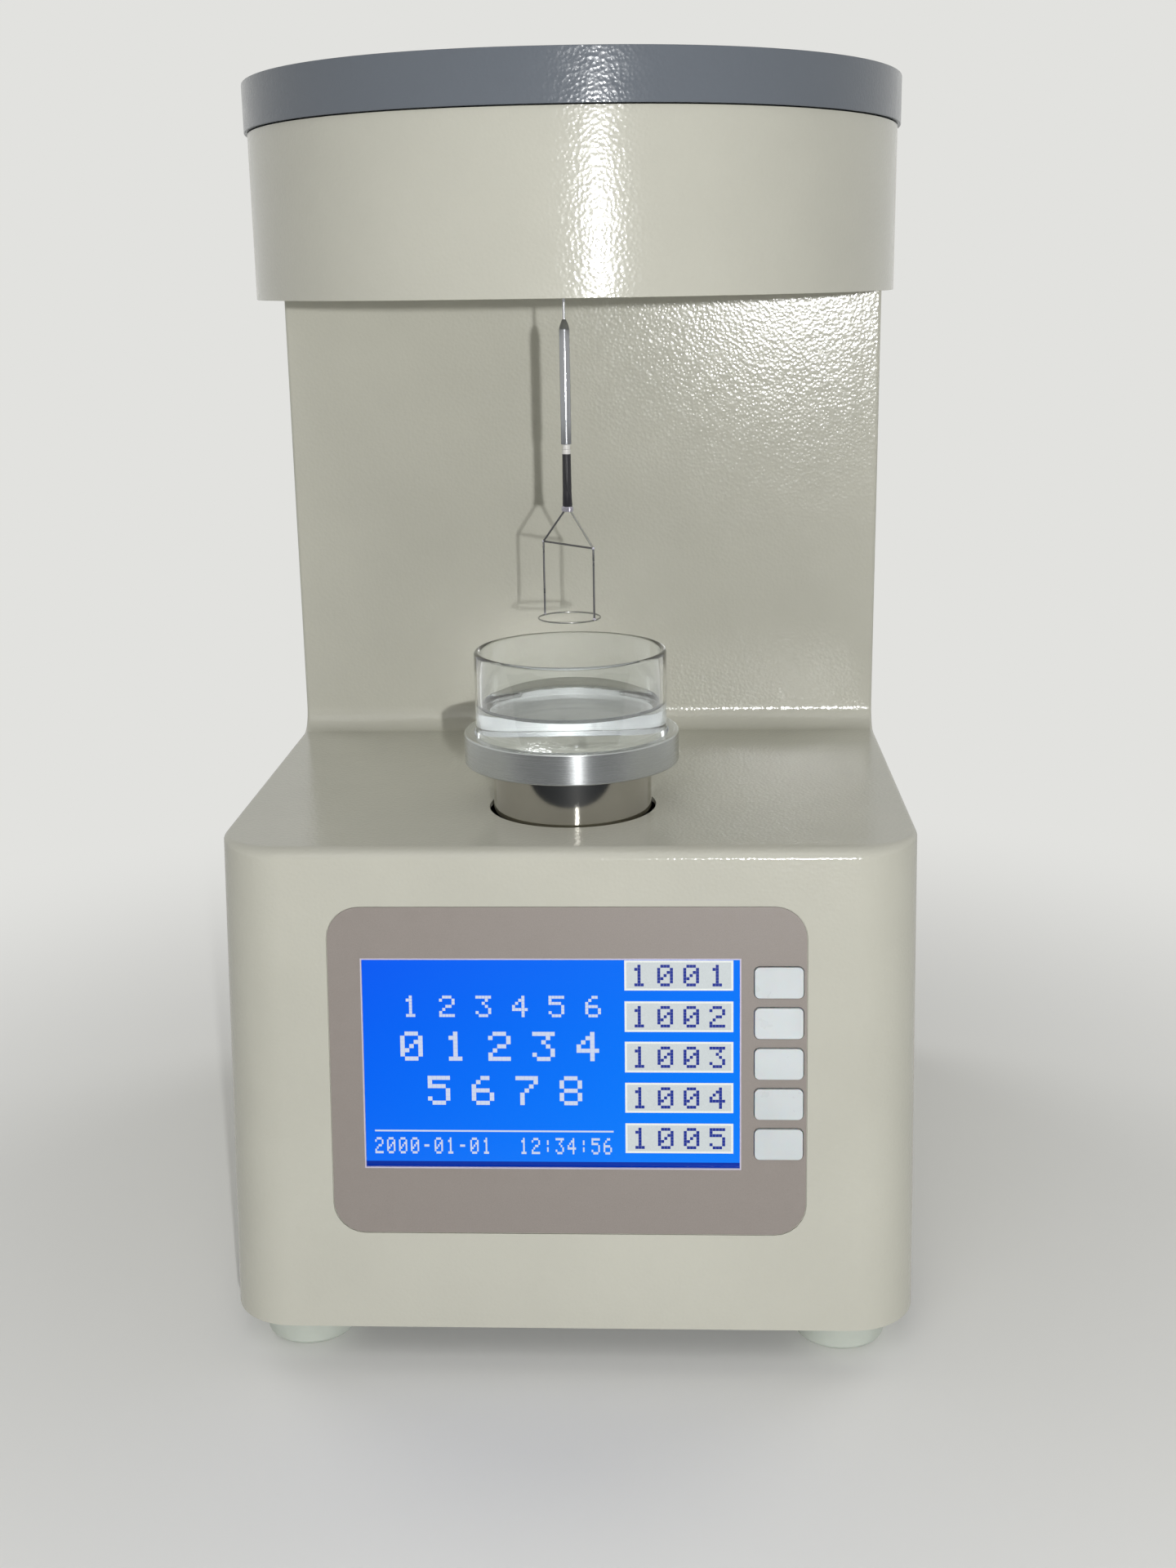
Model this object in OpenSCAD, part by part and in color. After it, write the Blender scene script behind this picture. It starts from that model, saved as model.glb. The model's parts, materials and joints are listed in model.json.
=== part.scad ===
// Bench surface tensiometer of the ring type.
// Millimetres. The origin is on the bench under the middle of the instrument, +Z is up
// and the front faces -Y. Everything is drawn at rest, as it stands ready for a sample.

/* [Case] */
// Width of the case
body_w = 210; // [190:1:250]
// Depth from the foot of the front face to the rear panel
body_d = 260; // [245:1:320]
// Height of the base, from its bottom edge to its top plate
base_h = 146; // [140:1:180]
// Depth of the column behind the sample bay
column_d = 86; // [70:1:95]
// Height of the open sample bay between base and head
bay_h = 156; // [145:1:220]
// How far the front face leans back, in degrees
front_lean = 7.7; // [0:0.1:10]
// Radius of the two upright front corners
corner_r = 20; // [8:1:26]
// Radius of the bend where the front face turns into the top plate
bend_r = 4; // [2:0.5:8]
// Radius of the cove where the top plate turns up into the column
cove_r = 8; // [3:1:14]
// Thickness of the case's sheet steel
sheet_t = 1.5; // [1:0.1:2]
// Width of the flanges folded inwards for the screws
flange_w = 10; // [8:1:14]
// Thickness of the bottom plate
floor_t = 2; // [1:0.5:4]
// How far fittings may stand out behind the rear panel
rear_proud = 3; // [3:0.5:6]

/* [Head and cap] */
// Height of the head, without its cap
head_h = 50.5; // [48:0.5:80]
// How far the head's nose lies behind the foot of the front face
head_set = 27; // [15:1:38]
// Length of the head's curved front, from its nose to where its sides run straight
nose_l = 125; // [105:1:140]
// Squareness of the curved front: 2 is an ellipse
nose_power = 2.2; // [2:0.05:2.8]
// Radius of the head's two rear corners
rear_r = 3; // [2:0.5:10]
// Height of the cap
cap_h = 14.5; // [10:0.5:30]
// How far the cap stands out past the head
cap_over = 1; // [0.5:0.1:1.4]
// Depth of the tabs that keep the cap in place
cap_tab_h = 8; // [4:1:10]
// Hole in the head's floor for the hanger
hanger_hole_d = 12; // [8:0.5:16]

/* [Feet] */
// Height of a foot
foot_h = 12; // [8:0.5:20]
// Diameter of a foot
foot_d = 28; // [20:1:34]
// Distance of a foot's centre from the case's sides, front and rear
foot_in = 22; // [20:1:40]

/* [Front panel] */
// Width of the display's window
lcd_w = 113; // [90:0.5:118]
// Height of the display's window
lcd_h = 64.5; // [58:0.5:70]
// Thickness of the display's glass
lcd_glass_t = 2.8; // [2:0.1:3.5]
// Thickness of the display's frame and back light
lcd_frame_t = 4.2; // [3:0.1:5]
// Height of the film's lower edge up the front face
film_up = 30; // [24:0.5:34]
// Corner radius of the panel film
film_r = 9.5; // [3:0.5:12]
// Thickness of the panel film
film_t = 0.5; // [0.3:0.1:0.7]
// Film to the left of the display's window
film_left = 9.7; // [8:0.1:14]
// Film to the right of the keys
film_right = 1.05; // [1:0.05:6]
// Film below the display's window
film_below = 20.05; // [16:0.05:24]
// Film above the display's window
film_above = 15.45; // [14:0.05:20]
// Width of a key
key_w = 14.3; // [10:0.1:16]
// Height of a key
key_h = 9.3; // [7:0.1:9.8]
// Corner radius of a key
key_r = 1.5; // [0.5:0.1:3]
// Distance from key to key
key_pitch = 12.3; // [12:0.1:13]
// Film between the display's window and the keys
key_side = 3.95; // [3.7:0.05:8]
// Height of the middle key above the display's middle
key_raise = 0.5; // [-2:0.1:3]
// How far a key stands out of the front face
key_proud = 0.8; // [0.4:0.1:2]
// How far a key can be pressed
key_travel = 1.5; // [0.5:0.1:1.6]

/* [Sample stage] */
// Distance of the stage's axis behind the foot of the front face
stage_set = 68; // [66:0.5:84]
// Diameter of the post that carries the sample
post_d = 50; // [44:0.5:54]
// Wall of the hollow post
post_wall = 2; // [1:0.5:4]
// Gap round the post where it comes out of the case
post_gap = 1.4; // [0.5:0.1:2]
// Height of the collar's underside above the case, at rest
stage_up = 15; // [14.5:0.5:20]
// Diameter of the collar
collar_d = 67.4; // [66:0.1:80]
// Height of the collar
collar_h = 9.6; // [8:0.1:14]
// Depth of the collar's seat for the cup
seat_depth = 6; // [4:0.5:7]
// Outer diameter of the sample cup
cup_d = 60; // [50:0.5:62]
// Height of the sample cup
cup_h = 31.6; // [26:0.1:34]
// Wall of the sample cup
cup_wall = 2; // [1.2:0.1:3]
// Floor of the sample cup
cup_floor = 2.5; // [1.5:0.1:4]
// How far the stage can rise from rest
lift_up = 29; // [20:1:31]
// How far the stage can sink from rest
lift_down = 14; // [6:1:14]

/* [Lift] */
// Diameter of the guide rods
rod_d = 8; // [6:0.5:10]
// Distance between the guide rods
rod_span = 74; // [72:1:80]
// Diameter of the lead screw
screw_d = 8; // [6:0.5:10]
// Thickness of the carriage
carriage_t = 8; // [6:0.5:10]
// Depth of the carriage, front to back
carriage_l = 34; // [26:1:40]
// Side of the square lift motor
motor_w = 42; // [35:1:46]
// Height of the lift motor
motor_h = 38; // [24:1:38]
// Thickness of the lift's two plates
plate_t = 3; // [2:0.5:4]
// Diameter of the shaft coupling
coupling_d = 19; // [16:0.5:24]
// Height of the shaft coupling
coupling_h = 24; // [18:0.5:25]

/* [Ring and hanger] */
// Mean radius of the measuring ring
ring_r = 9.55; // [8:0.05:12]
// Wire diameter of the measuring ring
ring_wire = 0.5; // [0.3:0.05:1]
// Height of the ring above the case
ring_up = 60; // [58:0.5:66]
// Wire diameter of the ring's frame
frame_wire = 0.6; // [0.4:0.05:1]
// Height of the frame's upright wires
frame_h = 22.5; // [15:0.5:24]
// Height of the frame's sloping wires
frame_peak = 10; // [6:0.5:14]
// Angle that the frame is turned to the front, in degrees
frame_turn = -34; // [-90:1:90]
// Diameter of the dark sleeve over the frame's top
sleeve_d = 3.1; // [2.5:0.1:5]
// Height of the dark sleeve
sleeve_h = 17.5; // [10:0.5:20]
// Diameter of the hanger's rod
hang_rod_d = 3.2; // [2:0.1:5]
// Height of the hanger's rod
hang_rod_h = 39.5; // [20:0.5:40]
// Wire diameter of the hook that the rod hangs from
hook_wire_d = 0.8; // [0.5:0.1:1.5]

/* [Balance] */
// Distance from the hanger to the beam's pivot
arm_front = 60; // [56:1:64]
// Distance from the pivot to the coil
arm_coil = 38; // [36:1:44]
// Distance from the pivot to the counterweight
arm_weight = 66; // [64:1:74]
// Height of the pivot above the head's floor
pivot_h = 33.5; // [30:0.5:35]
// Width and height of the beam
beam_t = 6; // [5:0.5:7]
// Diameter of the pivot wire
pivot_d = 1; // [0.8:0.1:2]
// Most that the beam can tip either way, in degrees
beam_tip = 1.5; // [0.5:0.1:1.6]
// Diameter of the counterweight
weight_d = 14; // [10:0.5:16]
// Length of the counterweight
weight_l = 9; // [6:0.5:12]
// Thickness of the balance's base
balance_t = 6; // [4:0.5:7]
// Outer diameter of the magnet
magnet_d = 46; // [44:1:48]
// Mean radius of the coil
coil_r = 14.5; // [13:0.5:16]
// Thickness of the coil's wall
coil_t = 2.4; // [1.5:0.1:2.6]
// Width of the magnet's air gap
air_gap = 5; // [4.4:0.1:5.4]

/* [Rear] */
// Distance of the mains inlet's middle from the case's side
mains_in = 45; // [36:1:65]
// Height of the mains inlet above the bench
inlet_z = 46; // [42:1:56]
// Height of the mains switch over the middle of the inlet
switch_up = 29; // [28:1:40]
// Distance of the data socket's middle from the case's other side
data_in = 60; // [34:1:85]
// Turn of the mains switch between off and on, in degrees
rocker_swing = 14; // [6:1:16]
// How far the fuse drawer pulls out
drawer_pull = 14; // [8:1:20]

/* [Clearances] */
// Round pieces that turn or slide in each other, per side
run_gap = 0.05; // [0.02:0.01:0.1]
// Pieces that are dropped into each other, per side
drop_gap = 0.3; // [0.2:0.05:0.5]
// Pieces that pass each other, per side
pass_gap = 1; // [0.5:0.1:1.4]

/* [Hidden] */
$fn = 64;

// Heights
z_base = foot_h;
z_floor = z_base + floor_t;
z_top = z_base + base_h;
z_head = z_top + bay_h;
z_cap = z_head + head_h;
z_end = z_cap + cap_h;

// Places along the depth
y_front = -(body_d + rear_proud) / 2;
y_rear = y_front + body_d;
y_col = y_rear - column_d;
y_axis = y_front + stage_set;
y_inner = y_rear - sheet_t;

// Rear fittings
mains_x = body_w / 2 - mains_in;
data_x = -body_w / 2 + data_in;

// Segments in a quarter round of a folded edge, and in the head's curved front
edge_n = 8;
nose_n = 56;

// The panel film has room for the window, the keys and the margins round them
film_w = film_left + lcd_w + key_side + key_w + film_right;
film_h = film_below + lcd_h + film_above;
lcd_x = -film_w / 2 + film_left + lcd_w / 2;
lcd_up = film_up + film_below + lcd_h / 2;
key_x = lcd_x + lcd_w / 2 + key_side + key_w / 2;
key_up = lcd_up + key_raise;

// The hollow leaves every face that it opens by this much
cut = 1;

// ---- shared shapes ----

// Points of an arc, from angle a0 to angle a1
function arc(centre, r, a0, a1, n = edge_n) =
    [for (i = [0:n]) centre + r * [cos(a0 + (a1 - a0) * i / n), sin(a0 + (a1 - a0) * i / n)]];

// Power that keeps the sign, for the head's curve
function bulge(v, p) = sign(v) * pow(abs(v), p);

// Rectangle with round corners, about the origin
module round_rect(w, h, r) {
    polygon(concat(
        arc([w / 2 - r, h / 2 - r], r, 0, 90),
        arc([-w / 2 + r, h / 2 - r], r, 90, 180),
        arc([-w / 2 + r, -h / 2 + r], r, 180, 270),
        arc([w / 2 - r, -h / 2 + r], r, 270, 360)));
}

module slab(x0, x1, y0, y1, z0, z1) {
    translate([x0, y0, z0]) cube([x1 - x0, y1 - y0, z1 - z0]);
}

module rod(d, z0, z1) {
    translate([0, 0, z0]) cylinder(d = d, h = z1 - z0);
}

module tube(d, bore, z0, z1) {
    difference() {
        rod(d, z0, z1);
        rod(bore, z0 - cut, z1 + cut);
    }
}

// Round bar along X, about the origin
module cross_bar(d, l) {
    rotate([0, 90, 0]) cylinder(d = d, h = l, center = true);
}

// A wire between two points, drawn as a plain rod
module wire(p, q, d) {
    v = q - p;
    translate(p)
        rotate([0, acos(v[2] / norm(v)), atan2(v[1], v[0])])
            cylinder(d = d, h = norm(v));
}

// Screw with a flat round head, pointing down; z = 0 is under its head
module screw(d, l, head_d, head_h) {
    rod(d, -l, 0);
    rod(head_d, 0, head_h);
}

// Places children on the front face: X across, Y up the face, Z out of it
module on_front() {
    translate([0, y_front, z_base]) rotate([90 - front_lean, 0, 0]) children();
}

// Places children on the rear panel: Z out of it, Y up
module on_rear(x, z) {
    translate([x, y_rear, z]) rotate([90, 0, 180]) children();
}

module at_stage() {
    translate([0, y_axis, 0]) children();
}

// ---- case ----

// Side view of the case, drawn in from its outside by inset
module case_profile(inset, rear, bottom, top) {
    foot_y = y_front + inset / cos(front_lean) - (z_base - bottom) * tan(front_lean);
    top_z = z_top - inset;
    r_bend = max(bend_r - inset, 0.1);
    r_cove = cove_r + inset;
    bend_z = top_z - r_bend;
    bend_y = foot_y + (bend_z - bottom) * tan(front_lean) + r_bend / cos(front_lean);
    polygon(concat(
        [[foot_y, bottom]],
        arc([bend_y, bend_z], r_bend, 180 - front_lean, 90),
        arc([y_col + inset - r_cove, top_z + r_cove], r_cove, -90, 0),
        [[y_col + inset, top], [rear, top], [rear, bottom]]));
}

// Leaning prism that rounds the two upright front corners
module corner_prism(inset) {
    r = max(corner_r - inset, 0.1);
    w = body_w / 2 - inset;
    far = 2 * body_d;
    tall = z_end + body_d;
    translate([0, y_front + inset / cos(front_lean), z_base]) rotate([-front_lean, 0, 0])
        translate([0, 0, -body_d])
            linear_extrude(tall + body_d)
                polygon(concat(
                    arc([-w + r, r], r, 180, 270),
                    arc([w - r, r], r, 270, 360),
                    [[w, far], [-w, far]]));
}

module case_solid(inset, rear, bottom, top) {
    intersection() {
        translate([-body_w / 2, 0, 0]) rotate([90, 0, 90])
            linear_extrude(body_w) case_profile(inset, rear, bottom, top);
        corner_prism(inset);
    }
}

// Flanges for the rear panel, the bottom plate and the head
flange_end = 10;
bottom_flange_set = 35;
rear_flange_z = [z_floor + flange_end, z_head - flange_end];
bottom_flange_y = [y_front + bottom_flange_set, y_inner - flange_end - sheet_t];
column_hole_w = body_w - 4 * flange_w;
column_hole_d = column_d - 3 * flange_w;

// Places of the case screws: rear panel, bottom plate and column top
rear_screw_x = body_w / 2 - sheet_t - flange_w / 2;
rear_screw_n = 4;
rear_screw_end = 8;
bottom_screw_end = 20;
rear_screw_step = (rear_flange_z[1] - rear_flange_z[0] - 2 * rear_screw_end) / (rear_screw_n - 1);
rear_screw_z = [for (i = [0:rear_screw_n - 1])
    rear_flange_z[0] + rear_screw_end + i * rear_screw_step];
bottom_screw_y = [bottom_flange_y[0] + bottom_screw_end, bottom_flange_y[1] - bottom_screw_end];
head_screw_y = [y_col + sheet_t + flange_w * 0.75, y_inner - flange_w * 0.75];
head_screw_x = body_w / 2 - sheet_t - flange_w;

screw_d_case = 3;
screw_head_d = 5.6;
screw_head_h = 2;
screw_grip = 5;

module case_screw_holes() {
    for (side = [-1, 1]) {
        for (z = rear_screw_z)
            translate([side * rear_screw_x, y_rear, z]) rotate([90, 0, 0])
                cylinder(d = screw_d_case + 2 * run_gap, h = 4 * screw_grip, center = true);
        for (y = bottom_screw_y)
            translate([side * rear_screw_x, y, 0])
                rod(screw_d_case + 2 * run_gap, z_base - cut, z_base + 2 * screw_grip);
        for (y = head_screw_y)
            translate([side * head_screw_x, y, 0])
                rod(screw_d_case + 2 * run_gap, z_head - screw_grip, z_head + screw_grip);
        for (y = balance_screw_y)
            translate([side * balance_screw_x, y, 0])
                rod(screw_d_case + 2 * run_gap, z_head - cut, base_top + cut);
    }
    for (p = board_places)
        translate([p[0], y_rear + cut, p[1]]) rotate([90, 0, 0])
            cylinder(d = screw_d_case + 2 * run_gap, h = board_screw_l + 2 * cut);
}

module case_screws() {
    color("#9a9c9e")
        for (side = [-1, 1]) {
            for (z = rear_screw_z)
                translate([side * rear_screw_x, y_rear, z]) rotate([-90, 0, 0])
                    screw(screw_d_case, screw_grip, screw_head_d, screw_head_h);
            for (y = bottom_screw_y)
                translate([side * rear_screw_x, y, z_base]) rotate([180, 0, 0])
                    screw(screw_d_case, screw_grip, screw_head_d, screw_head_h);
            for (y = head_screw_y)
                translate([side * head_screw_x, y, z_head + sheet_t])
                    screw(screw_d_case, screw_grip, screw_head_d, screw_head_h);
            for (y = balance_screw_y)
                translate([side * balance_screw_x, y, base_top])
                    screw(screw_d_case, balance_t + sheet_t, screw_head_d, screw_head_h);
        }
    color("#9a9c9e")
        for (p = board_places)
            translate([p[0], y_rear, p[1]]) rotate([-90, 0, 0])
                screw(screw_d_case, board_screw_l, screw_head_d, screw_head_h);
}

// Windows in the front wall: display, keys and the shallow seat of the film
film_seat = film_t + 0.1;
key_ups = [for (i = [0:4]) key_up + (2 - i) * key_pitch];
key_hole_gap = 0.25;

module key_holes(deep) {
    for (up = key_ups)
        translate([key_x, up, -deep])
            linear_extrude(2 * deep)
                round_rect(key_w + 2 * key_hole_gap, key_h + 2 * key_hole_gap,
                    key_r + key_hole_gap);
}

module front_cuts() {
    on_front() {
        translate([0, film_up + film_h / 2, -film_seat])
            linear_extrude(2 * film_seat)
                round_rect(film_w + 2 * drop_gap, film_h + 2 * drop_gap, film_r + drop_gap);
        translate([lcd_x - lcd_w / 2 - drop_gap, lcd_up - lcd_h / 2 - drop_gap, -4 * sheet_t])
            cube([lcd_w + 2 * drop_gap, lcd_h + 2 * drop_gap, 8 * sheet_t]);
        key_holes(2 * sheet_t);
    }
}

module main_housing() {
    color("#c9c6b8")
        difference() {
            union() {
                difference() {
                    case_solid(0, y_rear, z_base, z_head);
                    case_solid(sheet_t, y_rear + cut, z_base - cut, z_head - sheet_t);
                }
                for (side = [-1, 1]) {
                    inner = side * (body_w / 2 - sheet_t / 2);
                    lip = side * (body_w / 2 - sheet_t - flange_w);
                    slab(min(inner, lip), max(inner, lip),
                        y_inner - sheet_t, y_inner, rear_flange_z[0], rear_flange_z[1]);
                    slab(min(inner, lip), max(inner, lip),
                        bottom_flange_y[0], bottom_flange_y[1], z_floor, z_floor + sheet_t);
                }
            }
            at_stage() rod(post_d + 2 * post_gap, z_top - 3 * sheet_t, z_top + cut);
            slab(-column_hole_w / 2, column_hole_w / 2,
                y_col + 1.5 * flange_w, y_col + 1.5 * flange_w + column_hole_d,
                z_head - 2 * sheet_t, z_head + cut);
            front_cuts();
            case_screw_holes();
        }
}

// ---- head and cap ----

y_nose = y_front + head_set;
y_sides = y_nose + nose_l;

// Plan of the head, grown outwards by grow
module head_plan(grow) {
    a = body_w / 2 + grow;
    b = nose_l + grow;
    back = y_rear + grow;
    r = rear_r + grow;
    polygon(concat(
        [for (i = [0:nose_n])
            let (t = 180 + 180 * i / nose_n)
            [a * bulge(cos(t), 2 / nose_power), y_sides + b * bulge(sin(t), 2 / nose_power)]],
        arc([a - r, back - r], r, 0, 90),
        arc([-a + r, back - r], r, 90, 180)));
}

module head_prism(grow, z0, z1) {
    translate([0, 0, z0]) linear_extrude(z1 - z0) head_plan(grow);
}

module head_housing() {
    color("#c9c6b8")
        difference() {
            head_prism(0, z_head, z_cap);
            head_prism(-sheet_t, z_head + sheet_t, z_cap + cut);
            at_stage() rod(hanger_hole_d, z_head - cut, z_head + 2 * sheet_t);
            slab(-column_hole_w / 2, column_hole_w / 2,
                y_col + 1.5 * flange_w, y_col + 1.5 * flange_w + column_hole_d,
                z_head - cut, z_head + 2 * sheet_t);
            case_screw_holes();
        }
}

cap_tab_w = 20;
cap_tab_t = 2;
cap_tab_set = 10;
cap_tab_ys = [y_sides + cap_tab_set, y_rear - rear_r - cap_tab_w - cap_tab_set / 2];

module top_cap() {
    color("#5f6468") {
        difference() {
            head_prism(cap_over, z_cap, z_end);
            head_prism(cap_over - sheet_t, z_cap - cut, z_end - sheet_t);
        }
        for (side = [-1, 1])
            for (y = cap_tab_ys) {
                outer = side * (body_w / 2 - sheet_t - drop_gap);
                inner = outer - side * cap_tab_t;
                slab(min(outer, inner), max(outer, inner), y, y + cap_tab_w,
                    z_cap - cap_tab_h, z_end - sheet_t / 2);
            }
    }
}

// ---- rear panel, bottom plate and feet ----

inlet_w = 48;
inlet_h = 27;
inlet_rim = 4;
rocker_w = 13;
rocker_l = 21;
rocker_frame = 2;
inlet_top = switch_up + rocker_l / 2 + rocker_frame;
data_w = 17;
data_h = 9;
data_flange_w = 31;
vent_n = 9;
vent_w = 3;
vent_h = 32;
vent_pitch = 9;
vent_z1 = z_head - 20;

module rear_panel() {
    half = body_w / 2 - sheet_t - drop_gap;
    color("#b9b7ab")
        difference() {
            slab(-half, half, y_inner, y_rear, z_base, z_head - sheet_t - drop_gap);
            slab(mains_x - inlet_w / 2 - drop_gap, mains_x + inlet_w / 2 + drop_gap,
                y_inner - cut, y_rear + cut,
                inlet_z - inlet_h / 2 - drop_gap, inlet_z + inlet_top + drop_gap);
            slab(data_x - data_w / 2 - drop_gap, data_x + data_w / 2 + drop_gap,
                y_inner - cut, y_rear + cut,
                inlet_z - data_h / 2 - drop_gap, inlet_z + data_h / 2 + drop_gap);
            for (i = [0:vent_n - 1])
                translate([(i - (vent_n - 1) / 2) * vent_pitch, 0, 0])
                    slab(-vent_w / 2, vent_w / 2, y_inner - cut, y_rear + cut,
                        vent_z1 - vent_h, vent_z1);
            case_screw_holes();
        }
}

foot_x = body_w / 2 - foot_in;
foot_ys = [y_front + foot_in, y_rear - foot_in];
foot_screw_d = 4;
foot_screw_head_d = 8;
foot_screw_head_h = 3;
foot_nut_h = 3;
foot_well_d = foot_screw_head_d + 1;
foot_seat = 5;
foot_edge = 2;
foot_taper = 1.5;

module bottom_plate() {
    color("#a9a9a4")
        difference() {
            intersection() {
                case_solid(sheet_t + drop_gap, y_inner - drop_gap, z_base, z_floor);
                slab(-body_w, body_w, -body_d, body_d, z_base, z_floor);
            }
            for (x = [-foot_x, foot_x], y = foot_ys)
                translate([x, y, 0]) rod(foot_screw_d + 2 * run_gap, z_base - cut, z_floor + cut);
            case_screw_holes();
        }
}

// A turned foot with a well for its screw
module foot(x, y) {
    color("#e6e8e2")
        translate([x, y, 0])
            difference() {
                union() {
                    rod(foot_d, 0, foot_h - foot_edge);
                    translate([0, 0, foot_h - foot_edge])
                        cylinder(d1 = foot_d, d2 = foot_d - 2 * foot_taper, h = foot_edge);
                }
                rod(foot_screw_d + 2 * run_gap, -cut, foot_h + cut);
                rod(foot_well_d, -cut, foot_seat);
            }
}

module foot_front_left() { foot(-foot_x, foot_ys[0]); }
module foot_front_right() { foot(foot_x, foot_ys[0]); }
module foot_rear_left() { foot(-foot_x, foot_ys[1]); }
module foot_rear_right() { foot(foot_x, foot_ys[1]); }

module foot_screws() {
    color("#9a9c9e")
        for (x = [-foot_x, foot_x], y = foot_ys)
            translate([x, y, 0]) {
                rod(foot_screw_d, foot_seat - foot_screw_head_h / 2, z_floor + foot_nut_h + cut);
                rod(foot_screw_head_d, foot_seat - foot_screw_head_h, foot_seat);
                rotate([0, 0, 30]) translate([0, 0, z_floor])
                    cylinder(d = foot_screw_head_d, h = foot_nut_h, $fn = 6);
            }
}

// ---- front panel ----

module panel_film() {
    color("#9c938e")
        on_front()
            difference() {
                translate([0, film_up + film_h / 2, -film_seat])
                    linear_extrude(film_t) round_rect(film_w, film_h, film_r);
                translate([lcd_x - lcd_w / 2, lcd_up - lcd_h / 2, -2 * film_seat])
                    cube([lcd_w, lcd_h, 4 * film_seat]);
                key_holes(2 * film_seat);
            }
}

lcd_rim = 4;
frame_lip = 2;
glass_back = -sheet_t - lcd_glass_t;
frame_back = glass_back - lcd_frame_t;
board_t = 1.6;

module lcd_glass() {
    color("#1467e0")
        on_front()
            translate([lcd_x - lcd_w / 2 - lcd_rim / 2, lcd_up - lcd_h / 2 - lcd_rim, glass_back])
                cube([lcd_w + lcd_rim, lcd_h + 2 * lcd_rim, lcd_glass_t]);
}

module lcd_frame() {
    color("#2b2d30")
        on_front()
            translate([lcd_x - lcd_w / 2 - lcd_rim / 2, lcd_up - lcd_h / 2 - lcd_rim - frame_lip,
                frame_back])
                cube([lcd_w + lcd_rim, lcd_h + 2 * (lcd_rim + frame_lip), lcd_frame_t]);
}

// The two boards share a plane behind the front wall
key_board_side = 1.6;
spacer_d = 5;
spacer_room = 1;
board_edge = spacer_d / 2 + spacer_room;
key_board_x0 = key_x - key_w / 2 - key_board_side;
key_board_x1 = key_x + key_w / 2 + key_board_side;
display_x0 = lcd_x - lcd_w / 2 - 2 * board_edge - frame_lip;
display_x1 = key_board_x0 - drop_gap;
display_half = lcd_h / 2 + lcd_rim + frame_lip + 2 * board_edge;
key_board_half = 2 * key_pitch + key_h / 2 + 2 * board_edge + spacer_room;
spacer_places = [
    [display_x0 + board_edge, lcd_up - display_half + board_edge],
    [display_x0 + board_edge, lcd_up + display_half - board_edge],
    [display_x1 - board_edge, lcd_up - display_half + board_edge],
    [display_x1 - board_edge, lcd_up + display_half - board_edge],
    [key_x, key_up - key_board_half + board_edge],
    [key_x, key_up + key_board_half - board_edge]
];
spacer_stud_d = 2;

module spacer_holes() {
    for (p = spacer_places)
        translate([p[0], p[1], frame_back - 2 * board_t])
            cylinder(d = spacer_stud_d + 2 * run_gap, h = 4 * board_t);
}

module display_board() {
    color("#1f5c3a")
        on_front()
            difference() {
                translate([display_x0, lcd_up - display_half, frame_back - board_t])
                    cube([display_x1 - display_x0, 2 * display_half, board_t]);
                spacer_holes();
            }
}

module key_board() {
    color("#1f5c3a")
        on_front()
            difference() {
                translate([key_board_x0, key_up - key_board_half, frame_back - board_t])
                    cube([key_board_x1 - key_board_x0, 2 * key_board_half, board_t]);
                spacer_holes();
            }
}

// Stepped studs on the front wall that carry both boards
module board_spacers() {
    color("#c2a24e")
        on_front()
            for (p = spacer_places)
                translate([p[0], p[1], 0]) {
                    rod(spacer_d, frame_back, -sheet_t);
                    rod(spacer_stud_d, frame_back - board_t - cut, frame_back + cut);
                }
}

key_flange_t = 1;
key_flange_w = 1;
key_flange_h = 0.8;
key_slack = 0.2;
key_stem_h = 1.3;
key_flange_back = -sheet_t - key_slack - key_flange_t;
key_stem_d = 3;
key_stem_end = key_flange_back - key_stem_h;
key_switch_top = key_stem_end - key_travel - key_slack;
key_switch_w = 6;

// A key cap with a flange that keeps it behind the wall and a stem that works its switch
module key(i) {
    color("#e4e7e9")
        on_front()
            translate([key_x, key_ups[i], 0]) {
                translate([0, 0, key_flange_back + key_flange_t / 2])
                    linear_extrude(key_proud - key_flange_back - key_flange_t / 2)
                        round_rect(key_w, key_h, key_r);
                translate([-key_w / 2 - key_flange_w, -key_h / 2 - key_flange_h, key_flange_back])
                    cube([key_w + 2 * key_flange_w, key_h + 2 * key_flange_h, key_flange_t]);
                translate([0, 0, key_stem_end])
                    cylinder(d = key_stem_d, h = key_flange_back - key_stem_end + key_flange_t / 2);
            }
}

module key_1() { key(0); }
module key_2() { key(1); }
module key_3() { key(2); }
module key_4() { key(3); }
module key_5() { key(4); }

module key_switches() {
    color("#26282a")
        on_front()
            for (up = key_ups)
                translate([key_x - key_switch_w / 2, up - key_switch_w / 2, frame_back])
                    cube([key_switch_w, key_switch_w, key_switch_top - frame_back]);
}

// ---- sample stage ----

collar_z = z_top + stage_up;
cup_z = collar_z + collar_h - seat_depth;
post_bore = post_d - 2 * post_wall;
spigot_h = 4;
spigot_wall = 6;

// The lift is stacked down from the guide plate under the case's top
guide_plate_drop = 6;
guide_plate_z = z_top - sheet_t - guide_plate_drop - plate_t;
carriage_z1 = guide_plate_z - lift_up - pass_gap;
carriage_z0 = carriage_z1 - carriage_t;

module stage_post() {
    color("#b4b6b6") at_stage() tube(post_d, post_bore, carriage_z1, collar_z);
}

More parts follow.
